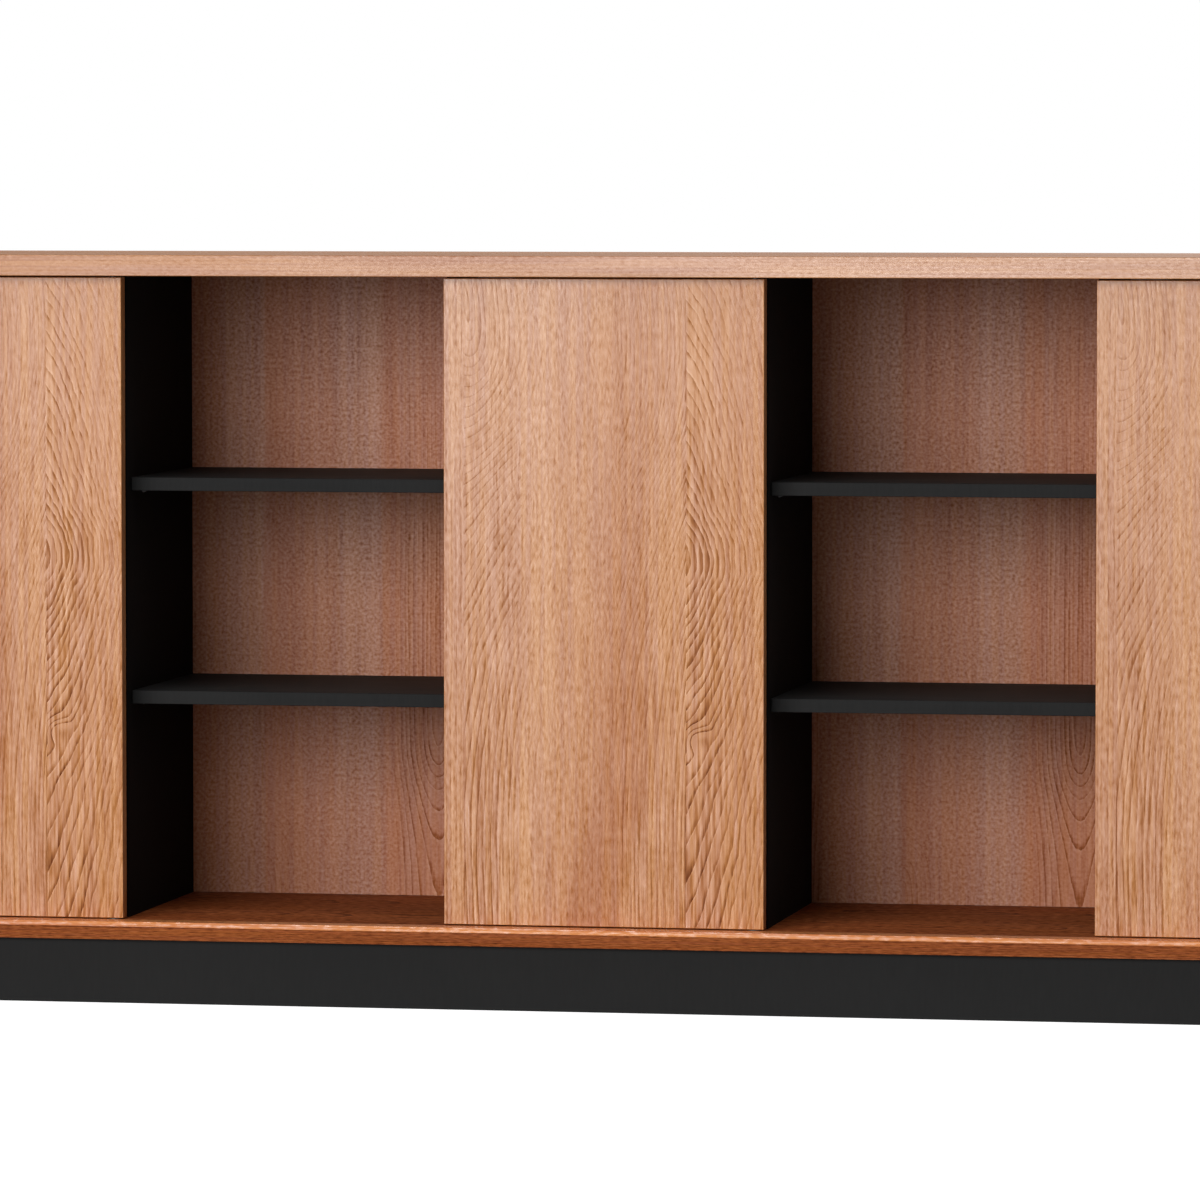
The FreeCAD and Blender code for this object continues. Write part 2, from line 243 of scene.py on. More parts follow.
class Paint(Sheet):
    """The node tree of one finish, with the readings and mixes that finishes share."""

    def __init__(self, name: str) -> None:
        """Start an empty material."""
        self.material = bpy.data.materials.new(name)
        self.material.use_nodes = True
        self.material.node_tree.nodes.clear()
        super().__init__(self.material.node_tree)

    def split(self, reading: str) -> list[Signal]:
        """Three parts of a reading of the surface, Object or Normal, in the piece's own axes."""
        whole = self.add("ShaderNodeTexCoord", out=reading)
        parts = self.add("ShaderNodeSeparateXYZ", sockets={0: whole})
        return [Signal(self, socket) for socket in parts.socket.node.outputs]

    def noise(self, place: Signal, detail: float = 2.0) -> Signal:
        """Smooth noise about a half, with features of unit size."""
        return self.add("ShaderNodeTexNoise", sockets={"Vector": place, "Scale": 1.0, "Detail": detail})

    def weave(self, across: Signal, along: Signal, kind: Weave, layer: Signal | float = 0.0) -> Signal:
        """Noise along the grain, other on every layer."""
        return self.noise(self.point(across * kind.across, along * kind.along, layer), kind.detail)

    def cloud(self, fine: float, upright: float | None = None, detail: float = 2.0) -> Signal:
        """Noise in space, from its features in one metre, with a number of their own along the z axis."""
        x, y, z = self.split("Object")
        return self.noise(self.point(x * fine, y * fine, z * (upright or fine)), detail)

    def chance(self, value: Signal) -> Signal:
        """A fixed random number from 0 to 1 for each value."""
        return self.add("ShaderNodeTexWhiteNoise", {"noise_dimensions": "1D"}, {"W": value})

    def step(self, value: Signal, low: float, high: Signal | float) -> Signal:
        """Soft step from 0 at one value to 1 at another."""
        sockets = {"Value": value, "From Min": low, "From Max": high}
        return self.add("ShaderNodeMapRange", {"interpolation_type": "SMOOTHSTEP"}, sockets)

    def curve(self, share: Signal, points: Curve) -> Signal:
        """Value read off a given curve at a share from 0 to 1."""
        return self.add("ShaderNodeFloatCurve", {"points": points}, {"Value": share})

    def ramp(self, value: Signal, *stops: tuple[float, Colour]) -> Signal:
        """Colour read off a ramp."""
        return self.add("ShaderNodeValToRGB", {"stops": stops}, {0: value})

    def blend(self, share: Signal, first: Any, second: Any, mode: str = "MIX") -> Signal:
        """Mix of two colours."""
        settings = {"data_type": "RGBA", "blend_type": mode}
        return self.add("ShaderNodeMix", settings, {0: share, 6: first, 7: second}, out=2)

    def close(self, colour: Any, roughness: Any, relief: Signal, depth: float, **constants: Any) -> None:
        """Feed the shader and end the material.

        Args:
            colour: Base colour.
            roughness: Roughness.
            relief: Height of the surface, about 0 to 1.
            depth: Height of the relief in metres.
            constants: Other shader sockets, with spaces written as underscores.
        """
        bump = self.add("ShaderNodeBump", sockets={"Strength": 1.0, "Distance": depth, "Height": relief})
        sockets = {"Base Color": colour, "Roughness": roughness, "Normal": bump}
        sockets.update({name.replace("_", " "): value for name, value in constants.items()})
        shader = self.add("ShaderNodeBsdfPrincipled", sockets=sockets)
        self.add("ShaderNodeOutputMaterial", sockets={"Surface": shader})


class GrainWay(Enum):
    """How the grain of a board runs."""

    UPRIGHT = "upright"
    LENGTHWISE = "lengthwise"


class Grain(NamedTuple):
    """What a figure says about a place on a board.

    Attributes:
        rings: Growth rings passed on the way there.
        pace: Rings passed there in one metre.
        bold: How boldly the rings show there.
        darkening: How much darker the wood is there than the mean: the leaf's own tone, and on the backs
            also painted shade toward the top.
        force: Contrast of all the grain there.
        blush: How much of the red-brown clouds lies there.
        shine: How full the film of lacquer is there.
    """

    rings: Signal
    pace: Signal
    bold: Signal
    darkening: Signal
    force: Signal | float
    blush: Signal
    shine: Signal | float


class Figure(ABC):
    """The drawing that the growth rings make on a board's face."""

    @abstractmethod
    def grain(self, paint: Paint, across: Signal, along: Signal) -> Grain:
        """Read the figure at a place.

        Args:
            paint: Sheet to draw on.
            across: Place across the grain, in metres.
            along: Place along the grain, in metres.

        Returns:
            The grain there.
        """


def ring_reach(side: Signal, depth: Signal, spacing: float) -> tuple[Signal, Signal]:
    """Measure the way from the heart of the tree to a place on a leaf.

    Args:
        side: Distance to the heart across the leaf.
        depth: How deep the heart lies behind the leaf.
        spacing: Distance from ring to ring.

    Returns:
        Length of the way, and rings passed there in one metre across the leaf.
    """
    reach = (side * side + depth * depth).math("SQRT")
    return reach, (side.math("ABSOLUTE") / reach).math("MAXIMUM", SLOWEST_PACE) / spacing


@dataclass(frozen=True)
class Leaf:
    """One sawn leaf of veneer whose rings rise in arcs from the joint on its left.

    Attributes:
        joint: Place of the joint, from the panel's left edge.
        spacing: Distance from ring to ring in the tree.
        depths: How deep the heart of the tree lies behind the leaf, up the panel.
        shifts: How far the heart lies to the left of the joint, up the panel.
    """

    joint: float
    spacing: float
    depths: Curve
    shifts: Curve = ((0.0, 0.0), (1.0, 0.0))

    def rings(self, paint: Paint, across: Signal, share: Signal) -> tuple[Signal, Signal]:
        """Count the rings from the heart of the tree.

        Args:
            paint: Sheet to draw on.
            across: Place across the panel, in metres.
            share: Place up the panel, as a share of its height.

        Returns:
            Rings passed, and rings in one metre there.
        """
        side = across - self.joint + paint.curve(share, self.shifts)
        reach, pace = ring_reach(side, paint.curve(share, self.depths), self.spacing)
        return reach / self.spacing, pace


@dataclass(frozen=True)
class PanelFigure(Figure):
    """A figure that repeats from panel to panel.

    Attributes:
        pitch: Distance from one repeat to the next.
        left: Place across the grain where one starts.
        low: Place along the grain where the panel starts.
        height: Height of the panel.
    """

    pitch: float
    left: float
    low: float
    height: float

    def place(self, across: Signal, along: Signal) -> tuple[Signal, Signal]:
        """Distance from the start of the repeat, and share of the panel's height."""
        return (across - self.left).math("WRAP", self.pitch, 0.0), (along - self.low) / self.height


@dataclass(frozen=True)
class DoorFigure(PanelFigure):
    """Three leaves side by side on a door, the same on each door.

    A run holds a value at the foot or the left edge and one at the top or the right edge.

    Attributes:
        width: Width of the door.
        edge_spacing: Distance between the straight lines of the first strip.
        straight_from: Place from which the first leaf's rings come closer.
        straight_pace: Rings that this adds in one metre.
        first: Leaf beside the first strip.
        second: Leaf at the right edge.
        boldness: How boldly the rings show, across the door.
        clouds: How much of the red-brown clouds lies on the wood, across the door.
        knot: Place of a small knot, in metres from the left and as a share of the height.
        knot_size: Radius within which it pushes the rings aside.
        knot_rings: By how many rings it does.
        sway: Noise that bends the rings.
        ripple: Noise that ripples those of the second leaf.
        bend: How far the two noises move a ring.
        lean_to: Height up to which the clouds lean, as a share.
        lean: How far they lean at the foot, as a share of the width.
        stray: How far they sway, as a share of the width.
        calm_run: Heights between which the second leaf calms down, as shares.
        calm: How much calmer it is above.
        force_run: Contrast of the grain, up the door.
        cloud_run: Strength of the clouds, up the door.
        bold_run: Strength of the rings, up the door.
        darkening_run: Darkening of the veneer, across the door.
        tint_force: How much a strong grain brightens it.
        shine_run: Fullness of the film, across the door.
    """

    width: float
    edge_spacing: float = 0.006
    straight_from: float = 0.2
    straight_pace: float = 40.0
    first: Leaf = Leaf(
        joint=0.0244,
        spacing=0.0060,
        depths=(
            (0.0, 0.126), (0.40, 0.124), (0.50, 0.116), (0.66, 0.092),
            (0.80, 0.046), (0.92, 0.006), (1.0, 0.004),
        ),
        shifts=((0.0, 0.130), (0.40, 0.110), (0.50, 0.085), (0.66, 0.040), (0.80, 0.0), (1.0, 0.0)),
    )
    second: Leaf = Leaf(
        joint=0.2927,
        spacing=0.0060,
        depths=(
            (0.0, 0.134), (0.12, 0.119), (0.20, 0.109), (0.26, 0.097), (0.32, 0.080), (0.40, 0.058),
            (0.46, 0.041), (0.52, 0.024), (0.57, 0.016), (0.62, 0.025), (0.70, 0.044), (0.80, 0.066),
            (1.0, 0.110),
        ),
        shifts=(
            (0.0, 0.034), (0.40, 0.028), (0.50, 0.018), (0.57, 0.008), (0.66, 0.024), (0.80, 0.034),
            (1.0, 0.045),
        ),
    )
    boldness: Curve = (
        (0.0, 0.36), (0.055, 0.40), (0.064, 0.82), (0.20, 0.68), (0.27, 0.30), (0.50, 0.26),
        (0.56, 0.60), (0.75, 0.75), (0.762, 1.55), (0.85, 1.3), (0.92, 0.95), (1.0, 0.75),
    )
    clouds: Curve = (
        (0.0, 0.42), (0.15, 0.38), (0.22, 0.30), (0.29, 0.10), (0.36, 0.34), (0.46, 0.52),
        (0.54, 0.90), (0.60, 0.90), (0.66, 0.46), (0.72, 0.30), (0.80, 0.42), (1.0, 0.42),
    )
    knot: tuple[float, float] = (0.305, 0.295)
    knot_size: float = 0.024
    knot_rings: float = 1.7
    sway: Weave = Weave(22.0, 4.5)
    ripple: Weave = Weave(45.0, 28.0, 1.0)
    bend: float = 0.008
    lean_to: float = 0.28
    lean: float = 0.09
    stray: float = 0.10
    calm_run: Run = (0.5, 0.72)
    calm: float = 0.15
    force_run: Run = (1.35, 0.40)
    cloud_run: Run = (1.25, 0.50)
    bold_run: Run = (1.14, 0.76)
    darkening_run: Run = (0.105, -0.005)
    tint_force: float = 0.145
    shine_run: Run = (1.2, 0.8)

    def pin_knot(self, paint: Paint, u: Signal, v: Signal) -> Signal:
        """Rings that a small knot beside the second joint pushes aside."""
        side = u - self.knot[0]
        rise = (v - self.knot[1]) * self.height
        reach = (side * side + rise * rise).math("SQRT")
        return (1 - paint.step(reach, 0.0, self.knot_size)) * self.knot_rings

    def grain(self, paint: Paint, across: Signal, along: Signal) -> Grain:
        """Read the figure at a place on a door. See Figure."""
        u, v = self.place(across, along)
        in_first = u.math("GREATER_THAN", self.first.joint)
        in_second = u.math("GREATER_THAN", self.second.joint)
        in_middle = in_first - in_second
        first_rings, first_pace = self.first.rings(paint, u, v)
        second_rings, second_pace = self.second.rings(paint, u, v)
        sway = paint.weave(u, along, self.sway) - 0.5
        ripple = paint.weave(u, along, self.ripple) - 0.5
        pace = (1 - in_first) / self.edge_spacing + first_pace * in_middle + second_pace * in_second
        rings = u / self.edge_spacing * (1 - in_first) + sway * self.bend * pace
        straight = (u - self.straight_from).math("MAXIMUM", 0.0) * self.straight_pace
        second_rings = second_rings + self.pin_knot(paint, u, v) + ripple * self.bend * second_pace
        rings = rings + (first_rings + straight) * in_middle + second_rings * in_second
        share = u / self.width
        lean = share + (1 - paint.step(v, 0.0, self.lean_to)) * self.lean + sway * self.stray
        force = fade(v, *self.force_run)
        blush = paint.curve(lean, self.clouds) * fade(v, *self.cloud_run)
        calm = in_second * paint.step(v, *self.calm_run) * self.calm
        bold = paint.curve(share, self.boldness) * fade(v, *self.bold_run) * (1 - calm)
        darkening = fade(share, *self.darkening_run) - force * self.tint_force
        return Grain(rings, pace, bold, darkening, force, blush, fade(share, *self.shine_run))


@dataclass(frozen=True)
class BackFigure(PanelFigure):
    """Broad red and grey bands over a sandy grain, with a flame low down, repeated behind every bay.

    Attributes:
        flame_from: Place from which the flame's rings take over from the arcs.
        arcs: Leaf with arcs at its foot.
        flame: Leaf with the flame.
        boldness: How boldly the rings show, across the repeat.
        bands: How red the wood is, across the repeat.
        sway: Noise that bends the rings.
        bend: How far it moves a ring.
        stray: How far the bands sway, as a share of the repeat.
        bold_run: Strength of the rings, up the panel.
        darkening_run: Painted shade: darkening of the veneer up the panel, deepest at the top under the top
            board.
        tint_blush: How much the red bands brighten it.
    """

    flame_from: float = 0.262
    arcs: Leaf = Leaf(
        joint=0.1016,
        spacing=0.0056,
        depths=((0.0, 0.004), (0.05, 0.012), (0.12, 0.040), (0.25, 0.090), (1.0, 0.130)),
    )
    flame: Leaf = Leaf(
        joint=0.321,
        spacing=0.0056,
        depths=((0.0, 0.042), (0.147, 0.030), (0.246, 0.008), (0.30, 0.004), (1.0, 0.004)),
    )
    boldness: Curve = (
        (0.0, 0.10), (0.245, 0.10), (0.256, 0.45), (0.33, 0.30), (0.43, 0.12),
        (0.63, 0.15), (0.67, 0.50), (0.71, 0.80), (0.85, 1.0), (1.0, 0.4),
    )
    bands: Curve = (
        (0.0, 0.8), (0.09, 0.7), (0.133, 0.3), (0.245, 0.1), (0.257, 1.0), (0.36, 0.85), (0.465, 0.6),
        (0.505, 0.1), (0.59, 0.0), (0.63, 0.7), (0.668, 1.0), (0.713, 0.6), (0.76, 0.9), (1.0, 0.8),
    )
    sway: Weave = Weave(24.0, 3.5)
    bend: float = 0.006
    stray: float = 0.03
    bold_run: Run = (1.1, 0.1)
    darkening_run: Run = (-0.01, 0.09)
    tint_blush: float = 0.04

    def grain(self, paint: Paint, across: Signal, along: Signal) -> Grain:
        """Read the figure at a place on a back panel. See Figure."""
        u, v = self.place(across, along)
        sway = paint.weave(u, along, self.sway) - 0.5
        arcs, arcs_pace = self.arcs.rings(paint, u, v)
        flame, flame_pace = self.flame.rings(paint, u, v)
        there = u.math("GREATER_THAN", self.flame_from)
        pace = between(arcs_pace, flame_pace, there)
        rings = between(arcs, flame, there) + sway * self.bend * pace
        share = u / self.pitch
        bold = paint.curve(share, self.boldness) * fade(v, *self.bold_run)
        blush = paint.curve(share + sway * self.stray, self.bands)
        # Painted shade: the backs grow darker toward the top, where the top board shades them
        darkening = fade(v, *self.darkening_run) - blush * self.tint_blush
        return Grain(rings, pace, bold, darkening, 1.0, blush, 1.0)


@dataclass(frozen=True)
class LeafFigure(Figure):
    """Leaves of one width, each with a figure of its own by chance.

    Attributes:
        leaf_width: Width of a leaf.
        start: Place across the grain where the first leaf starts.
        spacing: Distance from ring to ring in the tree.
        depth: Least depth of the heart of the tree behind the leaf.
        roam: How far that depth varies.
        pace: How often it does in one metre.
        bold: How boldly the rings show.
        darkening: How much the leaves differ in brightness.
        force: Contrast of the grain.
        clouds: Strength of the red-brown clouds.
        shine_slope: Gain in the fullness of the film in one metre along the grain.
        heart_run: Between which shares of the leaf's width its heart may lie.
        luck_run: Lucks between which the rings grow bold.
        luck_rings: How many rings apart the leaves' figures may lie.
        luck_spread: How far apart the noises of the leaves' depths may lie.
        sway: Noise that bends the rings.
        bend: How far it moves a ring.
        patches: Noise of the clouds.
        patch_run: Values of that noise between which a cloud rises.
    """

    leaf_width: float
    start: float = 0.0
    spacing: float = 0.0062
    depth: float = 0.035
    roam: float = 0.11
    pace: float = 1.6
    bold: float = 0.7
    darkening: float = 0.12
    force: float = 1.0
    clouds: float = 0.6
    shine_slope: float = 0.0
    heart_run: Run = (0.3, 0.7)
    luck_run: Run = (-0.5, 1.0)
    luck_rings: float = 9.0
    luck_spread: float = 40.0
    sway: Weave = Weave(24.0, 3.5)
    bend: float = 0.008
    patches: Weave = Weave(15.0, 1.8)
    patch_run: Run = (0.35, 0.75)

    def grain(self, paint: Paint, across: Signal, along: Signal) -> Grain:
        """Read the figure at a place on a leaf. See Figure."""
        u = across - self.start
        leaf = (u / self.leaf_width).math("FLOOR")
        luck = paint.chance(leaf + 0.5)
        side = u - (leaf + fade(luck, *self.heart_run)) * self.leaf_width
        drift = paint.noise(paint.point(along * self.pace, luck * self.luck_spread, leaf), detail=1.0)
        reach, pace = ring_reach(side, drift * self.roam + self.depth, self.spacing)
        sway = paint.weave(u, along, self.sway, leaf) - 0.5
        rings = (reach + sway * self.bend) / self.spacing + luck * self.luck_rings
        blush = paint.step(paint.weave(u, along, self.patches, leaf), *self.patch_run) * self.clouds
        bold = paint.step(luck, *self.luck_run) * self.bold
        shine = along * self.shine_slope + 1
        return Grain(rings, pace, bold, (luck - 0.5) * self.darkening, self.force, blush, shine)


class Finish(ABC):
    """A surface that pieces wear. Each is drawn once, on first use."""

    name: str

    @abstractmethod
    def draw(self, paint: Paint) -> None:
        """Draw the surface on an empty sheet."""

    def material(self) -> bpy.types.Material:
        """The finish as a material."""
        known = bpy.data.materials.get(self.name)
        if known:
            return known
        paint = Paint(self.name)
        self.draw(paint)
        return paint.material

    def dress(self, nodes: Iterable[str]) -> None:
        """Put the finish on CAD pieces.

        Args:
            nodes: Names of the pieces.
        """
        for node in nodes:
            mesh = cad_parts[node].data
            mesh.materials.clear()
            mesh.materials.append(self.material())
            log.info("%s wears %s", node, self.name)


class Palette(NamedTuple):
    """Colours of a veneer.

    Attributes:
        dark: Colour of pores and late wood.
        mid: Colour of the plain wood.
        light: Colour of the palest streaks.
        haze: Colour of the clouds that lie over the wood.
    """

    dark: Colour
    mid: Colour
    light: Colour
    haze: Colour


@dataclass(frozen=True)
class Veneer(Finish):
    """Open-pored oak with a thin satin lacquer, worked out from the place on the board.

    Attributes:
        name: Name of the material.
        figure: Drawing of the growth rings.
        way: How the grain runs.
        tones: Colours of the wood.
        gold: Cast of the wood between the fine streaks.
        mauve: Cast of the fine streaks.
        line_depth: How much the ring lines darken the wood.
        speck_width: Width of the short specks that the pores make.
        speck_length: Length of those specks.
        speck_share: How much the specks show.
        fibre_length: Length of the fine fibres.
        fibre_share: How much the fibres show.
        edge_spacing: Distance between the straight lines of the edge bands.
        edge_bold: How boldly those lines show.
        painted_edge_highlight: Painted highlight: how much paler the upright edges are made, for the sheen
            that the light gives them.
        highlight_from: Place on the y axis in front of which a flat top belongs to the edge, and so takes
            that painted highlight.
        painted_flat_shade: Painted shade: how much darker the flat faces are made, for the low light that
            only grazes them.
        film: Fullness of the lacquer on upright faces.
        flat_film: Fullness of the lacquer on flat faces.
        film_roughness: Roughness of the lacquer.
    """

    name: str
    figure: Figure
    way: GrainWay
    tones: Palette
    gold: Colour = tone(255, 247, 232)
    mauve: Colour = tone(243, 232, 240)
    line_depth: float = 0.385
    speck_width: float = 0.0026
    speck_length: float = 0.010
    speck_share: float = 1.0
    fibre_length: float = 0.066
    fibre_share: float = 1.0
    edge_spacing: float = 0.0042
    edge_bold: float = 0.4
    painted_edge_highlight: float = 0.0
    highlight_from: float = -1.0
    painted_flat_shade: float = 0.0
    film: float = 0.58
    flat_film: float = 0.2
    film_roughness: float = 0.26

    # Turns of a face that tell upright, narrow and level ones apart
    LEANING = 0.5
    FACING = 0.7
    LEVEL = 0.9
    # Noises of the grain, widths of its lines in metres, and weights
    FRAY = Weave(430.0, 32.0)
    FRAY_WIDTH = 0.0018
    DRIFT = Weave(70.0, 2.2)
    DRIFT_RINGS = 1.6
    WAVER = Weave(0.7, 3.0, 1.0)
    WAVER_RINGS = 0.8
    BREAKS = Weave(300.0, 34.0)
    BREAK_RUN = (0.34, 0.58)
    LINE_CORE = 0.0004
    LINE_FLANK = (0.0016, 0.0046)
    RIM_FLANK = 0.0024
    RIM_SHARE = 0.36
    FIBRES = 290.0
    STREAKS = Weave(60.0, 2.4)
    STREAK_SHARE = 0.35
    HUES = Weave(150.0, 3.0)
    HUE_LAYER = 2.0
    HUE_RUN = (0.36, 0.64)
    PLAIN = 0.58
    MEAN = 0.60
    BLUSH_DULLS = 0.25
    RIM_RISE = 0.3
    LINE_DIP = 0.45
    REST = 0.8
    ROUGH = 0.62
    FIBRES_SMOOTH = 0.2
    RELIEF = 0.15 * MILLIMETRE

    def axes(self, paint: Paint) -> tuple[Signal, Signal, Signal, Signal]:
        """Find the grain's own axes on every face of a board.

        Args:
            paint: Sheet to draw on.

        Returns:
            Places across and along the grain, one on the narrow faces, whose bands run along the edge,
            and one on upright faces.
        """
        x, y, z = paint.split("Object")
        normal = paint.split("Normal")
        turn_x, turn_y, turn_z = (part.math("ABSOLUTE") for part in normal)
        # Flat tops near the front count as upright edges, so that they take the painted highlight of the
        # edges
        front = normal[2].math("GREATER_THAN", self.LEVEL) * y.math("LESS_THAN", self.highlight_from)
        upright = turn_z.math("LESS_THAN", self.LEANING) + front
        if self.way is GrainWay.UPRIGHT:
            capped = turn_z.math("GREATER_THAN", self.FACING)
            edge = turn_y.math("LESS_THAN", self.FACING)
            return x * (1 - capped) + y, between(z, x, capped), edge, upright
        capped = turn_x.math("GREATER_THAN", self.FACING)
        edge = turn_z.math("LESS_THAN", self.LEVEL) + front
        return y * (1 - capped) - z, between(x, y, capped), edge, upright

    def ring_lines(
        self, paint: Paint, across: Signal, along: Signal, edge: Signal, face: Grain
    ) -> tuple[Signal, Signal, Signal]:
        """Draw the dark lines of late wood and the pale rims beside them.

        Args:
            paint: Sheet to draw on.
            across: Place across the grain.
            along: Place along the grain.
            edge: One on the narrow faces.
            face: The grain of the broad faces.

        Returns:
            How bold the grain is, its lines and its rims.
        """
        straight = across / self.edge_spacing + paint.weave(across, along, self.DRIFT) * self.DRIFT_RINGS
        pace = between(face.pace, 1 / self.edge_spacing, edge)
        bold = between(face.bold, self.edge_bold, edge)
        fray = paint.weave(across, along, self.FRAY) - 0.5
        rings = between(face.rings, straight, edge) + fray * pace * self.FRAY_WIDTH
        rings = rings + paint.weave(rings, along, self.WAVER) * self.WAVER_RINGS
        luck = fade(paint.chance(rings.math("FLOOR")), 0.5, 1.0)
        breaks = fade(paint.step(paint.weave(across, along, self.BREAKS), *self.BREAK_RUN), 0.45, 1.0)
        turn = rings.math("FRACT")
        line = 1 - paint.step((1 - turn) / pace, self.LINE_CORE, fade(bold, *self.LINE_FLANK))
        rim = 1 - paint.step(turn / pace, self.LINE_CORE, self.RIM_FLANK)
        return bold, line * luck * breaks * bold, rim * luck * breaks * bold

    def draw(self, paint: Paint) -> None:
        """Draw rings, pores, flecks, streaks and clouds. See Finish."""
        across, along, edge, upright = self.axes(paint)
        face = self.figure.grain(paint, across, along)
        bold, lines, rims = self.ring_lines(paint, across, along, edge, face)
        place = paint.point(across / self.speck_width, along / self.speck_length)
        speck = paint.noise(place, detail=3.0) - 0.5
        speck = speck * fade(bold, 1.3, 0.6) * fade(face.force, 0.5, 0.95) * self.speck_share
        fibre = paint.noise(paint.point(across * self.FIBRES, along / self.fibre_length)) - 0.5
        streak = paint.weave(across, along, self.STREAKS) - 0.5
        rise = fibre * fade(bold, 0.3, 1.7) * self.fibre_share + streak * self.STREAK_SHARE
        lined = (rims * self.RIM_SHARE - lines) * fade(face.force, 0.35, 1.0)

        def layers(specks: float, fibres: float, rings: float) -> Signal:
            """Sum of the three layers of the grain, each with its weight."""
            return speck * specks + rise * fibres * face.force + lined * rings

        # The darkening that a figure gives includes, on the backs, painted shade toward the top
        value = layers(specks=0.62, fibres=0.45, rings=self.line_depth) + (self.MEAN - face.darkening)
        # Painted highlight on the upright edges and painted shade on the flat faces, for how the light
        # falls on them
        value = value + edge * upright * self.painted_edge_highlight - (1 - edge) * self.painted_flat_shade
        tones = self.tones
        wood = paint.ramp(value, (0.0, tones.dark), (self.PLAIN, tones.mid), (1.0, tones.light))
        hue = paint.step(paint.weave(across, along, self.HUES, self.HUE_LAYER), *self.HUE_RUN)
        wood = paint.blend(1.0, wood, paint.blend(hue, self.gold, self.mauve), "MULTIPLY")
        colour = paint.blend(face.blush, wood, tones.haze, "MULTIPLY")
        film = fade(upright, self.flat_film, self.film) * (face.shine - face.blush * self.BLUSH_DULLS)
        film = film * (layers(specks=2.8, fibres=2.2, rings=1.3) + 1)
        relief = rims * self.RIM_RISE - lines * self.LINE_DIP + rise + speck + self.REST
        rough = self.ROUGH - rise * self.FIBRES_SMOOTH
        paint.close(
            colour, rough, relief, self.RELIEF, Coat_Weight=film,
            Coat_Roughness=self.film_roughness, Coat_IOR=FILM_IOR, Specular_IOR_Level=BARE_SPECULAR,
        )


@dataclass(frozen=True)
class Lacquer(Finish):
    """Sprayed matt lacquer with a fine skin. Its noises are given by their features in one metre.

    Attributes:
        name: Name of the material.
        colour: Colour of the paler patches.
        shade: Colour of the darker patches.
        roughness: Mean roughness.
        specular: Strength of the gloss.
        fineness: Noise of the skin.
        patches: Noise of the patches.
        fibres: Noise of the board's nap, across and along it.
        relief: Height of the skin.
    """

    name: str
    colour: Colour
    shade: Colour
    roughness: float = 0.62
    specular: float = 0.06
    fineness: float = 900.0
    patches: float = 9.0
    fibres: Run = (260.0, 40.0)
    relief: float = 0.05 * MILLIMETRE

    def draw(self, paint: Paint) -> None:
        """Draw the skin of the spray and the faint nap of the board under it. See Finish."""
        skin = paint.cloud(self.fineness, detail=3.0)
        drift = paint.cloud(self.patches)
        nap = paint.cloud(*self.fibres)
        colour = paint.blend(paint.step(drift * 0.6 + nap * 0.4, 0.3, 0.7), self.shade, self.colour)
        rough = drift * 0.12 + skin * 0.10 + (self.roughness - 0.11)
        height = skin * 0.6 + nap * 0.4
        paint.close(colour, rough, height, self.relief, Specular_IOR_Level=self.specular)


@dataclass(frozen=True)
class Metal(Finish):
    """Turned or plated metal with fine tool marks. Its noises are given by their features in one metre.

    Attributes:
        name: Name of the material.
        colour: Colour of the paler spangles.
        shade: Colour of the darker spangles.
        roughness: Mean roughness.
        spangle: Noise of the spangles.
        marks: Noise of the tool marks, across and along the z axis.
        relief: Height of the tool marks.
    """

    name: str
    colour: Colour
    shade: Colour
    roughness: float
    spangle: float = 300.0
    marks: Run = (2600.0, 900.0)
    relief: float = 0.02 * MILLIMETRE

    def draw(self, paint: Paint) -> None:
        """Draw the bloom of the plating and the tool marks. See Finish."""
        marks = paint.cloud(*self.marks, detail=3.0)
        bloom = paint.cloud(self.spangle)
        colour = paint.blend(paint.step(bloom, 0.35, 0.65), self.shade, self.colour)
        rough = bloom * 0.16 + marks * 0.10 + (self.roughness - 0.13)
        paint.close(colour, rough, marks, self.relief, Metallic=1.0)


@dataclass(frozen=True)
class Moulded(Finish):
    """Moulded plastic, rubber or pressed ferrite. Its noises are given by their features in one metre.

    Attributes:
        name: Name of the material.
        colour: Colour of the paler places.
        shade: Colour of the darker places.
        roughness: Mean roughness.
        grain: Noise of the spark-eroded grain.
        see_through: How much light goes through.
        patches: Noise of the patches.
        relief: Height of the grain.
    """

    name: str
    colour: Colour
    shade: Colour
    roughness: float
    grain: float = 1500.0
    see_through: float = 0.0
    patches: float = 60.0
    relief: float = 0.04 * MILLIMETRE

    def draw(self, paint: Paint) -> None:
        """Draw the grain of the mould. See Finish."""
        grain = paint.cloud(self.grain)
        drift = paint.cloud(self.patches)
        colour = paint.blend(drift * 0.6 + grain * 0.4, self.shade, self.colour)
        rough = grain * 0.14 + drift * 0.08 + (self.roughness - 0.11)
        paint.close(colour, rough, grain, self.relief, Transmission_Weight=self.see_through)


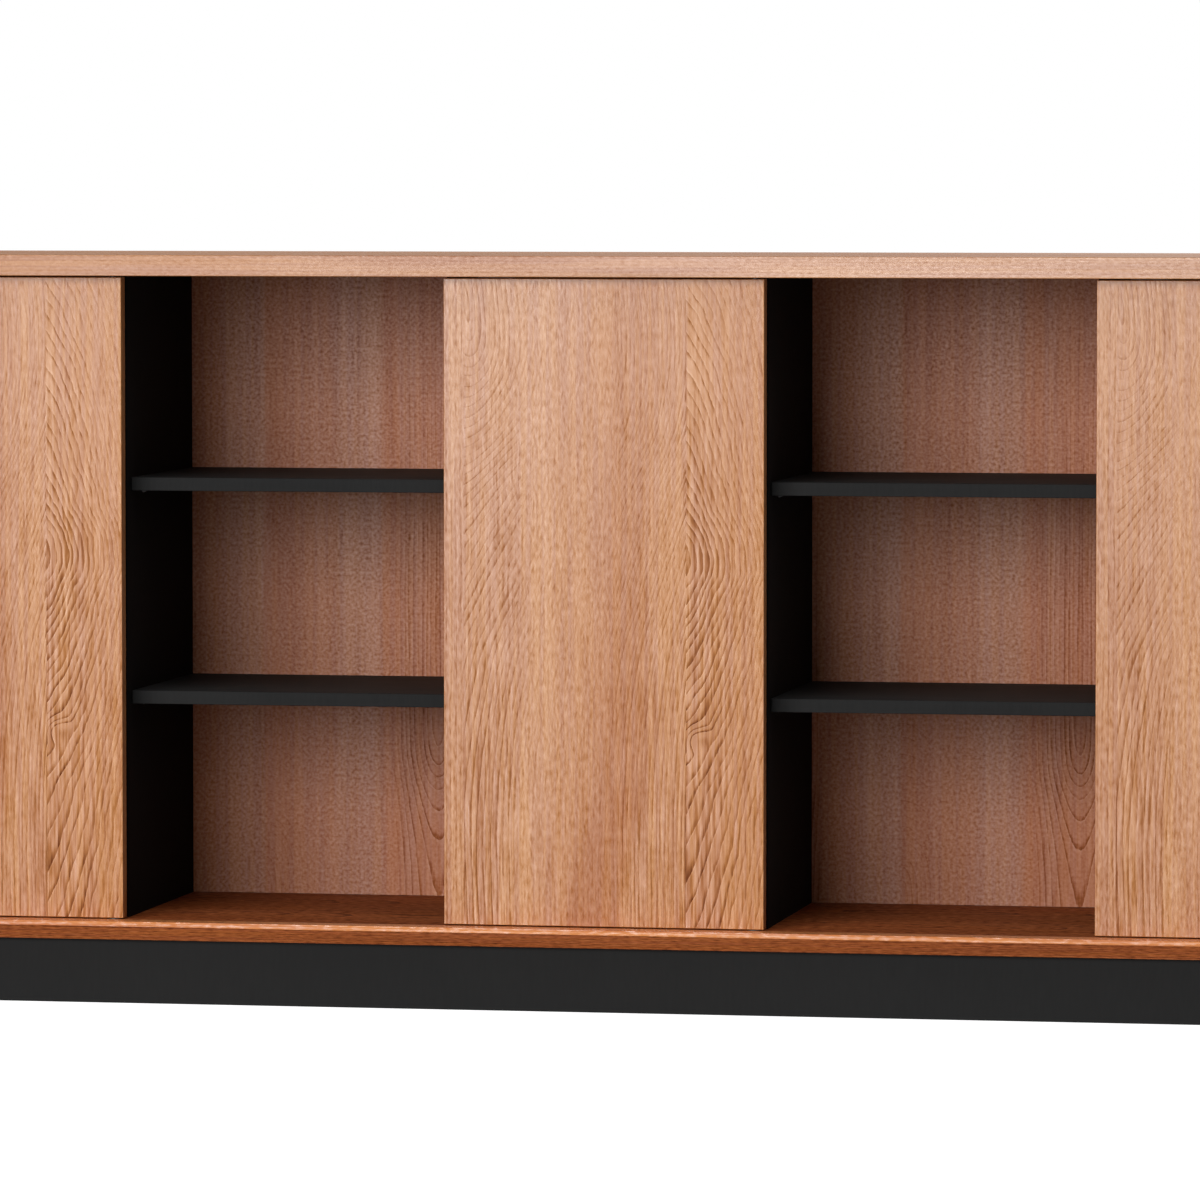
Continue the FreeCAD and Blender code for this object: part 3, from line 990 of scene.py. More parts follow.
@dataclass(frozen=True)
class Finishes:
    """Every finish of the cabinet."""

    door: Veneer
    top: Veneer
    base: Veneer
    back: Veneer
    bare: Veneer
    # Painted shade: the uprights wear a darker black than the shelves, for the shade that their side faces
    # lie in
    upright: Lacquer = Lacquer("black_upright_lacquer_painted_shade", tone(26, 25, 25), tone(21, 20, 20), specular=0.01)
    shelf: Lacquer = Lacquer("black_shelf_lacquer", tone(37, 37, 37), tone(32, 32, 32), specular=0.05)
    plinth: Lacquer = Lacquer("black_plinth_lacquer", tone(36, 36, 36), tone(33, 33, 33), specular=0.05)
    zinc: Metal = Metal("zinc_plate", tone(188, 192, 196), tone(150, 156, 162), 0.36)
    pin: Metal = Metal("blackened_steel", tone(70, 69, 68), tone(52, 51, 51), 0.42)
    brass: Metal = Metal("turned_brass", tone(206, 170, 102), tone(168, 130, 70), 0.34)
    nylon: Moulded = Moulded("black_nylon", tone(36, 34, 32), tone(26, 25, 24), 0.5)
    catch: Moulded = Moulded("brown_catch_plastic", tone(96, 62, 42), tone(76, 48, 32), 0.45)
    ferrite: Moulded = Moulded("pressed_ferrite", tone(66, 64, 64), tone(46, 45, 46), 0.55, 900.0)
    rubber: Moulded = Moulded("clear_rubber", tone(226, 228, 228), tone(206, 210, 210), 0.2, 700.0, 0.6)
    black: Moulded = Moulded("black_plastic", tone(24, 24, 25), tone(17, 17, 18), 0.5)

    @classmethod
    def measured(cls) -> "Finishes":
        """Draw up the veneers from the places of the boards.

        Returns:
            All finishes.
        """
        low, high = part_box("door_centre")
        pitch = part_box("door_right")[0].x - low.x
        red_haze = tone(231, 211, 194)
        warm = Palette(tone(112, 60, 30), tone(187, 133, 85), tone(212, 157, 105), red_haze)
        deep = Palette(tone(94, 43, 20), tone(203, 120, 69), tone(220, 148, 94), red_haze)
        dusk = Palette(tone(92, 50, 29), tone(165, 103, 65), tone(189, 129, 87), tone(255, 243, 229))
        pale = Palette(tone(170, 120, 80), tone(214, 176, 132), tone(232, 202, 164), tone(240, 232, 222))
        bay, bay_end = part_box("back_panel_2")
        door = DoorFigure(pitch, low.x + low.y, low.z, high.z - low.z, high.x - low.x)
        top = LeafFigure(leaf_width=0.135, start=-1.2, bold=0.6, shine_slope=0.5)
        base = LeafFigure(leaf_width=0.18, start=-1.2, bold=1.0, force=1.5)
        back = BackFigure(BACK_REPEAT, bay.x + bay.y, bay.z, bay_end.z - bay.z)
        block = LeafFigure(0.05, spacing=0.004, depth=0.06, roam=0.03, bold=0.35)
        return cls(
            door=Veneer("oak_door_veneer", door, GrainWay.UPRIGHT, warm),
            top=Veneer(
                "oak_top_veneer", top, GrainWay.LENGTHWISE, warm,
                fibre_length=0.008, fibre_share=0.6, speck_length=0.005, speck_share=0.4,
                edge_bold=0.2, film=0.72,
            ),
            # The base's upright edges and front strip carry a painted highlight, and its flat faces painted
            # shade
            base=Veneer(
                "oak_base_veneer", base, GrainWay.LENGTHWISE, deep,
                fibre_length=0.012, speck_length=0.006, speck_share=0.6, edge_bold=0.9,
                painted_edge_highlight=1.0, highlight_from=low.y, painted_flat_shade=0.28, film=1.0, flat_film=0.0,
            ),
            back=Veneer(
                "oak_back_veneer", back, GrainWay.UPRIGHT, dusk,
                line_depth=0.34, speck_width=0.0036, speck_length=0.0036, speck_share=1.15,
                fibre_share=0.4, film=0.6, film_roughness=0.5,
            ),
            bare=Veneer("bare_beech", block, GrainWay.UPRIGHT, pale, film=0.0, flat_film=0.0),
        )


class Site(NamedTuple):
    """Where one fitting sits in the frame, and its measures.

    Attributes:
        foot: Middle of its outer end.
        aim: Direction from the outer end into the wood.
        length: Its whole length.
        head: Length of its wide end.
        wide: Radius of its wide end.
        slim: Radius of the rest.
    """

    foot: np.ndarray
    aim: np.ndarray
    length: float
    head: float
    wide: float
    slim: float

    def sizes(self) -> tuple[float, ...]:
        """Its measures, to a hundredth of a millimetre."""
        return tuple(round(float(size), 5) for size in self[2:])

    def aimed(self, aim: np.ndarray, head: float) -> "Site":
        """The site of a plain drum in the same place, with another direction and head."""
        centre = self.foot + self.aim * self.length / 2
        return self._replace(foot=centre - aim * self.length / 2, aim=aim, head=head, slim=self.wide)


def islands(node: str) -> list[np.ndarray]:
    """Split a CAD piece into its separate solids.

    Args:
        node: Name of the piece.

    Returns:
        The corners of each solid, one row each.
    """
    copy = bmesh.new()
    copy.from_mesh(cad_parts[node].data)
    bmesh.ops.remove_doubles(copy, verts=copy.verts, dist=MERGE_DISTANCE)
    left = set(copy.verts)
    found = []
    while left:
        edge = [left.pop()]
        solid = list(edge)
        while edge:
            near = {rim.other_vert(corner) for corner in edge for rim in corner.link_edges} & left
            left -= near
            edge = list(near)
            solid += edge
        found.append(np.array([corner.co for corner in solid], dtype=float))
    copy.free()
    return sorted(found, key=lambda corners: tuple(corners.mean(axis=0).round(4)))


def measure(corners: np.ndarray, axis: int | None = None) -> Site:
    """Find the outer end, the direction and the sizes of a round fitting.

    Args:
        corners: Corners of its solid.
        axis: Its long axis, or nothing where the two other sides are alike.

    Returns:
        The site.
    """
    low, high = corners.min(axis=0), corners.max(axis=0)
    middle, span = (low + high) / 2, high - low
    if axis is None:
        axis = min(range(3), key=lambda i: abs(span[i - 1] - span[i - 2]))
    others = [i for i in range(3) if i != axis]
    radius = np.linalg.norm(corners[:, others] - middle[others], axis=1)
    wide = radius.max()
    rim = corners[radius > wide * 0.99, axis].mean()
    sense = 1.0 if rim <= middle[axis] else -1.0
    end = low[axis] if sense > 0 else high[axis]
    way = (corners[:, axis] - end) * sense
    slim = radius[way > 0.9 * span[axis]].max()
    head = way[np.abs(radius - slim) < 0.02 * slim].min()
    foot, aim = middle.copy(), np.zeros(3)
    foot[axis], aim[axis] = end, sense
    return Site(foot, aim, float(span[axis]), float(head), float(wide), float(slim))


class Form(Enum):
    """Drawing of a section that isn't round."""

    CROSS = "cross"
    HEXAGON = "hexagon"
    FLUTED = "fluted"
    SQUARE = "square"


class Stop(NamedTuple):
    """One stop of a loft.

    Attributes:
        height: Height of the section there.
        radius: Its radius along the x axis.
        share: How much of the form it shows, from 0 for a round section.
        breadth: Its radius along the y axis, as a multiple of the other.
        lift: How far its middle lies along the x axis.
    """

    height: Signal | float
    radius: Signal | float
    share: float = 0.0
    breadth: float = 1.0
    lift: float = 0.0


class Thread(NamedTuple):
    """A thread that goes on from the last stop of a loft and ends it in a tip.

    Attributes:
        core: Radius of the rod.
        low: Height where it starts.
        high: Height of the tip.
        turns: Number of turns.
        tip: Length of the tip, as a multiple of the core.
    """

    core: Signal
    low: Signal
    high: Signal
    turns: int
    tip: float = 2.0


class Plan(Sheet):
    """A Geometry Nodes tree that shapes one fitting and sets it at every site."""

    SIZES = ("Length", "Head height", "Head radius", "Shank radius")
    ROWS_IN_A_TURN = 4
    THREAD_DEPTH = 0.27
    CROSS_BITE = 1.7
    CROSS_DEPTH = 0.6
    FLUTES = 14
    FLUTE_DEPTH = 0.055
    SQUARE_POWER = 6.0

    def __init__(self, name: str) -> None:
        """Start a tree with sockets for sites, sizes, greatest roll, seed and finish."""
        tree = bpy.data.node_groups.new(name, "GeometryNodeTree")
        tree.interface.new_socket("Sites", in_out="INPUT", socket_type="NodeSocketGeometry")
        for size in (*self.SIZES, "Roll"):
            tree.interface.new_socket(size, in_out="INPUT", socket_type="NodeSocketFloat")
        tree.interface.new_socket("Seed", in_out="INPUT", socket_type="NodeSocketInt")
        tree.interface.new_socket("Finish", in_out="INPUT", socket_type="NodeSocketMaterial")
        tree.interface.new_socket("Pieces", in_out="OUTPUT", socket_type="NodeSocketGeometry")
        super().__init__(tree)
        self.given = self.add("NodeGroupInput").socket.node
        self.length, self.head, self.wide, self.slim = (self.take(size) for size in self.SIZES)

    def take(self, name: str) -> Signal:
        """What the modifier hands to the tree under a name."""
        return Signal(self, self.given.outputs[name])

    def pick(self, row: Signal, values: Sequence[Signal | float]) -> Signal:
        """Choose one of several values.

        Args:
            row: Number of the value.
            values: The values.

        Returns:
            The value with that number, or 0 past the last.
        """
        settings = {"data_type": "FLOAT", "items": len(values) + 1}
        index = row.math("MINIMUM", float(len(values)))
        sockets = dict(enumerate((index, *values)))
        return self.add("GeometryNodeIndexSwitch", settings, sockets)

    def outline(self, form: Form, turn: Signal) -> Signal:
        """Draw the form of a section.

        Args:
            form: The form.
            turn: Angle about the axis.

        Returns:
            Radius at that angle, as a multiple of the round one.
        """
        if form is Form.CROSS:
            bite = (turn * 2).math("SINE").math("ABSOLUTE") * self.CROSS_BITE
            return 1 - bite.math("MINIMUM", 1.0) * self.CROSS_DEPTH
        if form is Form.HEXAGON:
            part = (turn * (3 / math.pi)).math("FRACT") - 0.5
            return 1 / (part * (math.pi / 3)).math("COSINE")
        if form is Form.FLUTED:
            return (turn * self.FLUTES).math("COSINE") * self.FLUTE_DEPTH + (1 - self.FLUTE_DEPTH)
        power = self.SQUARE_POWER
        sides = [turn.math(name).math("ABSOLUTE").math("POWER", power) for name in ("COSINE", "SINE")]
        return (sides[0] + sides[1]).math("POWER", -1 / power)

    def loft(
        self,
        stops: Sequence[Stop],
        sides: int,
        form: Form | None = None,
        thread: Thread | None = None,
    ) -> Signal:
        """Stretch a closed skin over sections that stand along the z axis.

        Args:
            stops: The sections in order. The first has no radius, nor has the last without a thread.
            sides: Sides of every section.
            form: What the sections show that have a share of it.
            thread: Thread that ends the skin.

        Returns:
            A closed solid.
        """
        rows = len(stops) + (thread.turns * self.ROWS_IN_A_TURN if thread else 0)
        skin = self.add("GeometryNodeMeshGrid", sockets={"Vertices X": rows, "Vertices Y": sides + 1})
        index = self.add("GeometryNodeInputIndex")
        row = ((index + 0.5) / (sides + 1.0)).math("FLOOR")
        turn = (index - row * (sides + 1.0)) * (-math.tau / sides)
        height, radius, share, breadth, lift = (self.pick(row, values) for values in zip(*stops))
        if thread:
            on = row.math("GREATER_THAN", len(stops) - 0.5)
            count = (row - (len(stops) - 1.0)) / float(rows - len(stops))
            climb = between(thread.low, thread.high, count)
            wound = count * float(thread.turns)
            wave = (wound + turn / math.tau).math("FRACT") - 0.5
            swell = 1 + (1 - wave.math("ABSOLUTE") * 2) * wound.math("MINIMUM", 1.0) * self.THREAD_DEPTH
            point = ((thread.high - climb) / (thread.core * thread.tip)).math("MINIMUM", 1.0)
            height = height + on * climb
            radius = radius + on * thread.core * swell * point
            breadth = breadth + on
        if form:
            radius = radius * (1 + share * (self.outline(form, turn) - 1))
        x, y = radius * turn.math("COSINE") + lift, radius * breadth * turn.math("SINE")
        sockets = {"Geometry": skin, "Position": self.point(x, y, height)}
        skin = self.add("GeometryNodeSetPosition", sockets=sockets)
        sockets = {"Geometry": skin, "Distance": MERGE_DISTANCE}
        return self.add("GeometryNodeMergeByDistance", sockets=sockets)

    def cut(self, solid: Signal, tool: Signal) -> Signal:
        """A solid less the tool that cuts it."""
        settings = {"operation": "DIFFERENCE", "solver": "EXACT"}
        return self.add("GeometryNodeMeshBoolean", settings, {"Mesh 1": solid, "Mesh 2": tool})

    def lay(self, solid: Signal, height: float) -> Signal:
        """Turn a solid from the z axis to the x axis, at a height."""
        turn, move = (0.0, math.pi / 2, 0.0), (0.0, 0.0, height)
        sockets = {"Geometry": solid, "Translation": move, "Rotation": turn}
        return self.add("GeometryNodeTransform", sockets=sockets)

    def close(self, solid: Signal) -> None:
        """Set the solid at every site, by the directions that the points carry, and end the tree."""
        aim, side = (
            self.add("GeometryNodeInputNamedAttribute", {"data_type": "FLOAT_VECTOR"}, {"Name": name})
            for name in ("aim", "side")
        )
        axes = {"primary_axis": "Z", "secondary_axis": "X"}
        turn = self.add("FunctionNodeAxesToRotation", axes, {0: aim, 1: side})
        sockets = {"Points": self.take("Sites"), "Instance": solid, "Rotation": turn}
        pieces = self.add("GeometryNodeInstanceOnPoints", sockets=sockets)
        chance = self.add("FunctionNodeRandomValue", {"data_type": "FLOAT"}, {8: self.take("Seed")}, out=1)
        roll = self.point(0.0, 0.0, chance * self.take("Roll"))
        pieces = self.add("GeometryNodeRotateInstances", sockets={"Instances": pieces, "Rotation": roll})
        pieces = self.add("GeometryNodeRealizeInstances", sockets={0: pieces})
        soft = self.add("GeometryNodeInputMeshEdgeAngle").math("LESS_THAN", SOFT_ANGLE)
        sockets = {"Geometry": pieces, "Shade Smooth": soft}
        pieces = self.add("GeometryNodeSetShadeSmooth", {"domain": "EDGE"}, sockets)
        pieces = self.add("GeometryNodeSetShadeSmooth", {"domain": "FACE"}, {"Geometry": pieces})
        sockets = {"Geometry": pieces, "Material": self.take("Finish")}
        pieces = self.add("GeometryNodeSetMaterial", sockets=sockets)
        self.add("NodeGroupOutput", sockets={"Pieces": pieces})


@dataclass
class Fitting(ABC):
    """Fittings of one kind, all on one body.

    Attributes:
        node: CAD piece that they stand for.
        slot: Its material slot in the record. Not used.
        finish: What they wear.
        body: Body that they ride on.
        side: Direction that their own x axis looks to.
        axis: Their long axis, where the solid doesn't tell.
        sides: Sides of their round sections.
        roll: Greatest turn of each about its axis, by chance.
        seed: Seed of that chance.
    """

    node: str
    slot: str
    finish: Finish
    body: str = "carcass"
    side: tuple[float, float, float] = (0.0, 0.0, 1.0)
    axis: int | None = None
    sides: int = 16
    roll: float = 0.0
    seed: int = 7

    @abstractmethod
    def shape(self, plan: Plan) -> Signal:
        """Draw one fitting with its outer end at the origin and its length up the z axis.

        Args:
            plan: Tree to draw in.

        Returns:
            Its solid.
        """

    def sites(self) -> list[Site]:
        """Where they sit."""
        return [measure(corners, self.axis) for corners in islands(self.node)]

    def points(self, sites: Sequence[Site]) -> bpy.types.Object:
        """Make an object of bare points, one for each site, that carry their directions.

        Args:
            sites: The sites.

        Returns:
            The object.
        """
        mesh = bpy.data.meshes.new("sites")
        mesh.from_pydata([tuple(site.foot) for site in sites], [], [])
        for name, ways in (("aim", [site.aim for site in sites]), ("side", [self.side for _ in sites])):
            mesh.attributes.new(name, "FLOAT_VECTOR", "POINT").data.foreach_set("vector", np.ravel(ways))
        thing = bpy.data.objects.new("sites", mesh)
        bpy.context.scene.collection.objects.link(thing)
        return thing

    def grow(self, plan: Plan, sites: Sequence[Site]) -> bpy.types.Mesh:
        """Run the tree for sites of one size.

        Args:
            plan: The finished tree.
            sites: The sites.

        Returns:
            A plain mesh of the fittings there.
        """
        thing = self.points(sites)
        given = dict(zip(Plan.SIZES, sites[0].sizes()))
        given |= {"Roll": self.roll, "Seed": self.seed, "Finish": self.finish.material()}
        modifier = thing.modifiers.new("plan", "NODES")
        modifier.node_group = plan.tree
        for item in plan.tree.interface.items_tree:
            if item.name in given:
                modifier[item.identifier] = given[item.name]
        graph = bpy.context.evaluated_depsgraph_get()
        mesh = bpy.data.meshes.new_from_object(thing.evaluated_get(graph), depsgraph=graph)
        thing.modifiers.remove(modifier)
        bpy.data.objects.remove(thing)
        return mesh

    def build(self) -> None:
        """Make the fittings as one plain mesh that takes the place of the CAD piece."""
        plan = Plan(f"{self.node}_plan")
        plan.close(self.shape(plan))
        sites = self.sites()
        whole = bmesh.new()
        for sizes in sorted({site.sizes() for site in sites}):
            whole.from_mesh(self.grow(plan, [site for site in sites if site.sizes() == sizes]))
        mesh = bpy.data.meshes.new(f"{self.node}_fittings")
        whole.to_mesh(mesh)
        whole.free()
        for name in ("aim", "side"):
            if name in mesh.attributes:
                mesh.attributes.remove(mesh.attributes[name])
        mesh.materials.append(self.finish.material())
        thing = bpy.data.objects.new(mesh.name, mesh)
        bpy.context.scene.collection.objects.link(thing)
        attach(thing, self.body)
        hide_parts(self.node)
        log.info("%s: %d fittings, %d faces", thing.name, len(sites), len(mesh.polygons))


class Head(Enum):
    """Side view of a screw's head: heights as shares of its own, radii as shares of its radius."""

    COUNTERSUNK = ((0.0, 0.97), (0.08, SNUG))
    PAN = ((0.0, 0.66), (0.10, 0.78), (0.32, 0.93), (0.60, SNUG), (0.97, SNUG))
    CHEESE = ((0.0, 0.88), (0.06, 0.95), (0.16, SNUG), (0.97, SNUG))


@dataclass
class Screws(Fitting):
    """Wood screws.

    Attributes:
        head: Side view of the head.
        drive: Form of the recess in it.
        plain: Share of the shank that has no thread.
        turns: Turns of the thread.
        recess: Depth of the recess, as a share of the head's height.
        mouth: Radius of the recess at its mouth, as a share of the head's radius.
    """

    head: Head = Head.COUNTERSUNK
    drive: Form = Form.CROSS
    plain: float = 0.12
    turns: int = 12
    roll: float = math.tau
    recess: float = 0.62
    mouth: float = 0.52

    def shape(self, plan: Plan) -> Signal:
        """Draw recess, head, shank and thread. See Fitting."""
        tall, wide, slim = plan.head, plan.wide, plan.slim
        deep, mouth = tall * self.recess, wide * self.mouth
        start = tall + (plan.length - tall) * self.plain
        thread = Thread(slim * CORE, start + slim * 0.2, plan.length, self.turns)
        stops = [
            Stop(deep, 0.0), Stop(deep * 0.95, mouth * 0.5, 1.0), Stop(0.0, mouth, 1.0),
            *(Stop(tall * height, wide * radius) for height, radius in self.head.value),
            Stop(tall, slim * SNUG), Stop(start, slim * SNUG), Stop(thread.low, thread.core),
        ]
        return plan.loft(stops, self.sides, self.drive, thread)


@dataclass
class CamBolts(Fitting):
    """Bolts that the cams draw down: a round nose, a neck, a body and a threaded foot in the top panel.

    Attributes:
        turns: Turns of the thread.
        view: Side view up to the thread, in shares of the head.
    """

    turns: int = 5
    view: Curve = (
        (0.0, 0.0), (0.0, 0.45), (0.03, 0.80), (0.08, 0.97), (0.13, 0.97), (0.17, 0.58),
        (0.33, 0.58), (0.37, 0.97), (0.985, 0.97), (1.0, 0.90),
    )

    def shape(self, plan: Plan) -> Signal:
        """Draw nose, neck, body and thread. See Fitting."""
        thread = Thread(plan.slim * CORE, plan.head, plan.length, self.turns, 0.5)
        stops = [Stop(plan.head * height, plan.wide * radius) for height, radius in self.view]
        stops.append(Stop(plan.head, thread.core))
        return plan.loft(stops, self.sides, thread=thread)


@dataclass
class Dowels(Fitting):
    """Fluted beech dowels with chamfered ends.

    Attributes:
        chamfer: Height of the chamfer.
        end: Radius of the ends, as a share of the rod's.
    """

    chamfer: float = 0.0012
    end: float = 0.78
    sides: int = 2 * Plan.FLUTES

    def shape(self, plan: Plan) -> Signal:
        """Draw the fluted rod. See Fitting."""
        wide, length = plan.wide * SNUG, plan.length
        return plan.loft([
            Stop(0.0, 0.0), Stop(0.0, wide * self.end), Stop(self.chamfer, wide, 1.0),
            Stop(length - self.chamfer, wide, 1.0), Stop(length, wide * self.end), Stop(length, 0.0),
        ], self.sides, Form.FLUTED)


@dataclass
class Cams(Fitting):
    """Cam housings let into the boards, each with a cross in its face and a way in for its bolt.

    Attributes:
        boards: Boards that they sit in.
        way_radius: Radius of the bolt's way.
        way_depth: Distance from the face to the middle of that way.
        nose: How far the way goes past the cam's axis.
        recess: Depth of the cross, as a share of the housing's.
    """

    boards: tuple[str, ...] = ()
    way_radius: float = 0.0038
    way_depth: float = 0.009
    nose: float = 0.0034
    recess: float = 0.22
    axis: int | None = 0
    sides: int = 32

    def sites(self) -> list[Site]:
        """Where they sit, with their faces on the near side of the board. See Fitting."""
        middles = [sum(corner.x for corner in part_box(name)) / 2 for name in self.boards]
        found = []
        for site in super().sites():
            centre = site.foot[0] + site.aim[0] * site.length / 2
            board = min(middles, key=lambda middle: abs(middle - centre))
            found.append(site.aimed(np.array((math.copysign(1.0, board - centre), 0.0, 0.0)), 0.0))
        return found

    def shape(self, plan: Plan) -> Signal:
        """Draw the drum, the cross and the bolt's way. See Fitting."""
        wide, deep = plan.wide * SNUG, plan.length
        floor = deep * self.recess
        drum = plan.loft([
            Stop(floor, 0.0), Stop(floor, wide * 0.56, 1.0), Stop(0.0, wide * 0.62, 1.0),
            Stop(0.0, wide * 0.94), Stop(deep * 0.04, wide),
            Stop(deep * 0.95, wide), Stop(deep, wide * 0.93), Stop(deep, 0.0),
        ], self.sides, Form.CROSS)
        way = plan.loft([
            Stop(-self.nose, 0.0), Stop(-self.nose, self.way_radius),
            Stop(wide * 1.2, self.way_radius), Stop(wide * 1.2, 0.0),
        ], self.sides)
        return plan.cut(drum, plan.lay(way, self.way_depth))


@dataclass
class Supports(Fitting):
    """Spoon supports for the shelves: a flat arm that thickens toward the board, and a ringed peg in it.

    Attributes:
        reach: Length of the arm.
        width: Width of the arm.
        height: Height of the arm at the board.
        plate: Height of the arm at its tip.
        peg: Radius of the peg.
        groove: Depth of the ring in the peg, as a share of its radius.
    """

    reach: float = 0.009
    width: float = 0.010
    height: float = 0.005
    plate: float = 0.0022
    peg: float = 0.0025
    groove: float = 0.1
    axis: int | None = 0
    sides: int = 24

    def rib(self, way: float, full: float = 1.0) -> Stop:
        """Section of the arm at a share of its reach, with its top kept level."""
        half = fade(way ** 1.6, self.plate, self.height) / 2 * SNUG
        breadth = self.width * SNUG / 2 / half
        return Stop(self.reach * way, half * full, 1.0, breadth, self.height / 2 * SNUG - half)

    def shape(self, plan: Plan) -> Signal:
        """Draw arm and peg. See Fitting."""
        radius, end = self.peg * SNUG, plan.length
        neck = radius * (1 - self.groove)
        return plan.loft([
            self.rib(0.0, 0.0), self.rib(0.0, 0.72), self.rib(0.05, 0.9), self.rib(0.16), self.rib(0.4),
            self.rib(0.7), self.rib(0.96), self.rib(1.0, 0.94),
            Stop(self.reach, radius), Stop(end - 0.0046, radius), Stop(end - 0.0043, neck),
            Stop(end - 0.0036, neck), Stop(end - 0.0033, radius), Stop(end - 0.0010, radius),
            Stop(end, radius * 0.66), Stop(end, 0.0),
        ], self.sides, Form.SQUARE)


@dataclass
class Turned(Fitting):
    """Round fittings that a lathe or a round mould gives.

    Attributes:
        view: Side view. Heights to 1 are shares of the head, those from there to 2 of the rest.
        dish: Radius and depth of a dish in the outer end, as shares of the head.
    """

    view: Curve = ()
    dish: tuple[float, float] | None = None
    sides: int = 28

    def stop(self, plan: Plan, height: float, radius: float) -> Stop:
        """Turn a place in the side view into a stop.

        Args:
            plan: Tree that knows the sizes of the fitting.
            height: Height in the view.
            radius: Radius in the view.

        Returns:
            The stop.
        """
        if height <= 1:
            return Stop(plan.head * height, plan.wide * radius)
        return Stop(plan.head + (plan.length - plan.head) * (height - 1), plan.slim * radius)

    def shape(self, plan: Plan) -> Signal:
        """Draw the side view round the axis. See Fitting."""
        first = [(0.0, 0.0)]
        if self.dish:
            radius, depth = self.dish
            first = [(depth, 0.0), (depth * 0.9, radius * 0.5), (0.0, radius)]
        view = [*first, *self.view, (self.view[-1][0], 0.0)]
        return plan.loft([self.stop(plan, height, radius) for height, radius in view], self.sides)


@dataclass
class Bumpers(Turned):
    """Round rubber buffers whose domes look to the front."""

    def sites(self) -> list[Site]:
        """Where they sit, seen from their seats. See Fitting."""
        return [site.aimed(np.array((0.0, -1.0, 0.0)), site.length) for site in super().sites()]


def named(*starts: str) -> list[str]:
    """Names of the CAD pieces that begin with any of the given words."""
    return sorted(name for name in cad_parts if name.startswith(starts))


@dataclass
class Carcass:
    """Top, base, uprights, shelves and backs, with what joins them.

    Attributes:
        finishes: What the pieces wear.
        cam_way: Radius of the ways that let the bolts into the cams.
        dowel_chamfer: Chamfer at the ends of a dowel.
        base_turns: Turns of thread on a base screw.
        back_turns: Turns of thread on a back screw.
        support_plate: Height of a shelf support at its tip.
    """

    finishes: Finishes
    cam_way: float = 0.0038
    dowel_chamfer: float = 0.0012
    base_turns: int = 14
    back_turns: int = 13
    support_plate: float = 0.0022

    def build(self) -> None:
        """Make the fittings that join the boards and carry the shelves."""
        wear = self.finishes
        boards = tuple(named("end_panel", "divider_"))
        zinc = {"slot": "zinc_steel", "finish": wear.zinc}
        wood = {"slot": "bare_wood", "finish": wear.bare, "side": RIGHT, "chamfer": self.dowel_chamfer}
        Cams("cam_housings", **zinc, boards=boards, way_radius=self.cam_way).build()
        CamBolts("cam_bolts", **zinc, side=RIGHT).build()
        Screws(
            "base_screws", **zinc, side=RIGHT, sides=18, head=Head.CHEESE, drive=Form.HEXAGON,
            plain=0.4, turns=self.base_turns,
        ).build()
        Screws("back_screws", **zinc, turns=self.back_turns).build()
        Dowels("top_dowels", **wood).build()
        Dowels("base_dowels", **wood).build()
        Supports("shelf_supports", "black_plastic", wear.black, plate=self.support_plate).build()

    def dress(self) -> None:
        """Put the finishes on the boards."""
        wear = self.finishes
        wear.top.dress(["top_panel"])
        wear.base.dress(["base_panel"])
        wear.upright.dress(named("end_panel", "divider_"))
        wear.shelf.dress(name for name in named("shelf_") if name != "shelf_supports")
        wear.back.dress(named("back_panel"))


@dataclass
class Doors:
    """The three leaves with their pivots, strikes, catches and bumpers.

    Attributes:
        finishes: What the pieces wear.
        leaves: Which doors there are.
        strike_view: Side view of a strike.
        strike_dish: Radius and depth of the dish in its face.
        bumper_view: Side view of a bumper.
        catch_turns: Turns of thread on a catch screw.
    """

    finishes: Finishes
    leaves: tuple[str, ...] = ("left", "centre", "right")
    strike_view: Curve = (
        (0.0, 0.88), (0.12, 0.95), (0.35, SNUG), (0.98, SNUG), (1.02, 0.96), (1.30, 0.96),
        (1.36, 0.82), (1.50, 0.96), (1.56, 0.82), (1.70, 0.96), (2.0, 0.6),
    )
    strike_dish: tuple[float, float] = (0.55, 0.32)
    bumper_view: Curve = (
        (0.0, 0.92), (0.05, SNUG), (0.62, SNUG), (0.80, 0.93), (0.92, 0.76), (0.98, 0.5), (1.0, 0.3),
    )
    catch_turns: int = 7

    def build(self) -> None:
        """Make the small fittings of the doors."""
        wear = self.finishes
        for leaf in self.leaves:
            Turned(
                f"strike_{leaf}", "zinc_steel", wear.zinc, body=f"{leaf}_leaf",
                view=self.strike_view, dish=self.strike_dish,
            ).build()
        Screws(
            "catch_screws", "zinc_steel", wear.zinc, side=RIGHT, head=Head.PAN, turns=self.catch_turns,
        ).build()
        Bumpers("door_bumpers", "clear_rubber", wear.rubber, view=self.bumper_view).build()

    def dress(self) -> None:
        """Put the finishes on the leaves and their metal."""
        wear = self.finishes
        wear.door.dress(named("door_left", "door_centre", "door_right"))
        wear.pin.dress(named("pivot_left", "pivot_centre", "pivot_right"))
        wear.brass.dress(named("pivot_bushes"))
        wear.nylon.dress(["pivot_washers"])
        wear.catch.dress(["catch_housings"])
        wear.ferrite.dress(["catch_magnets"])


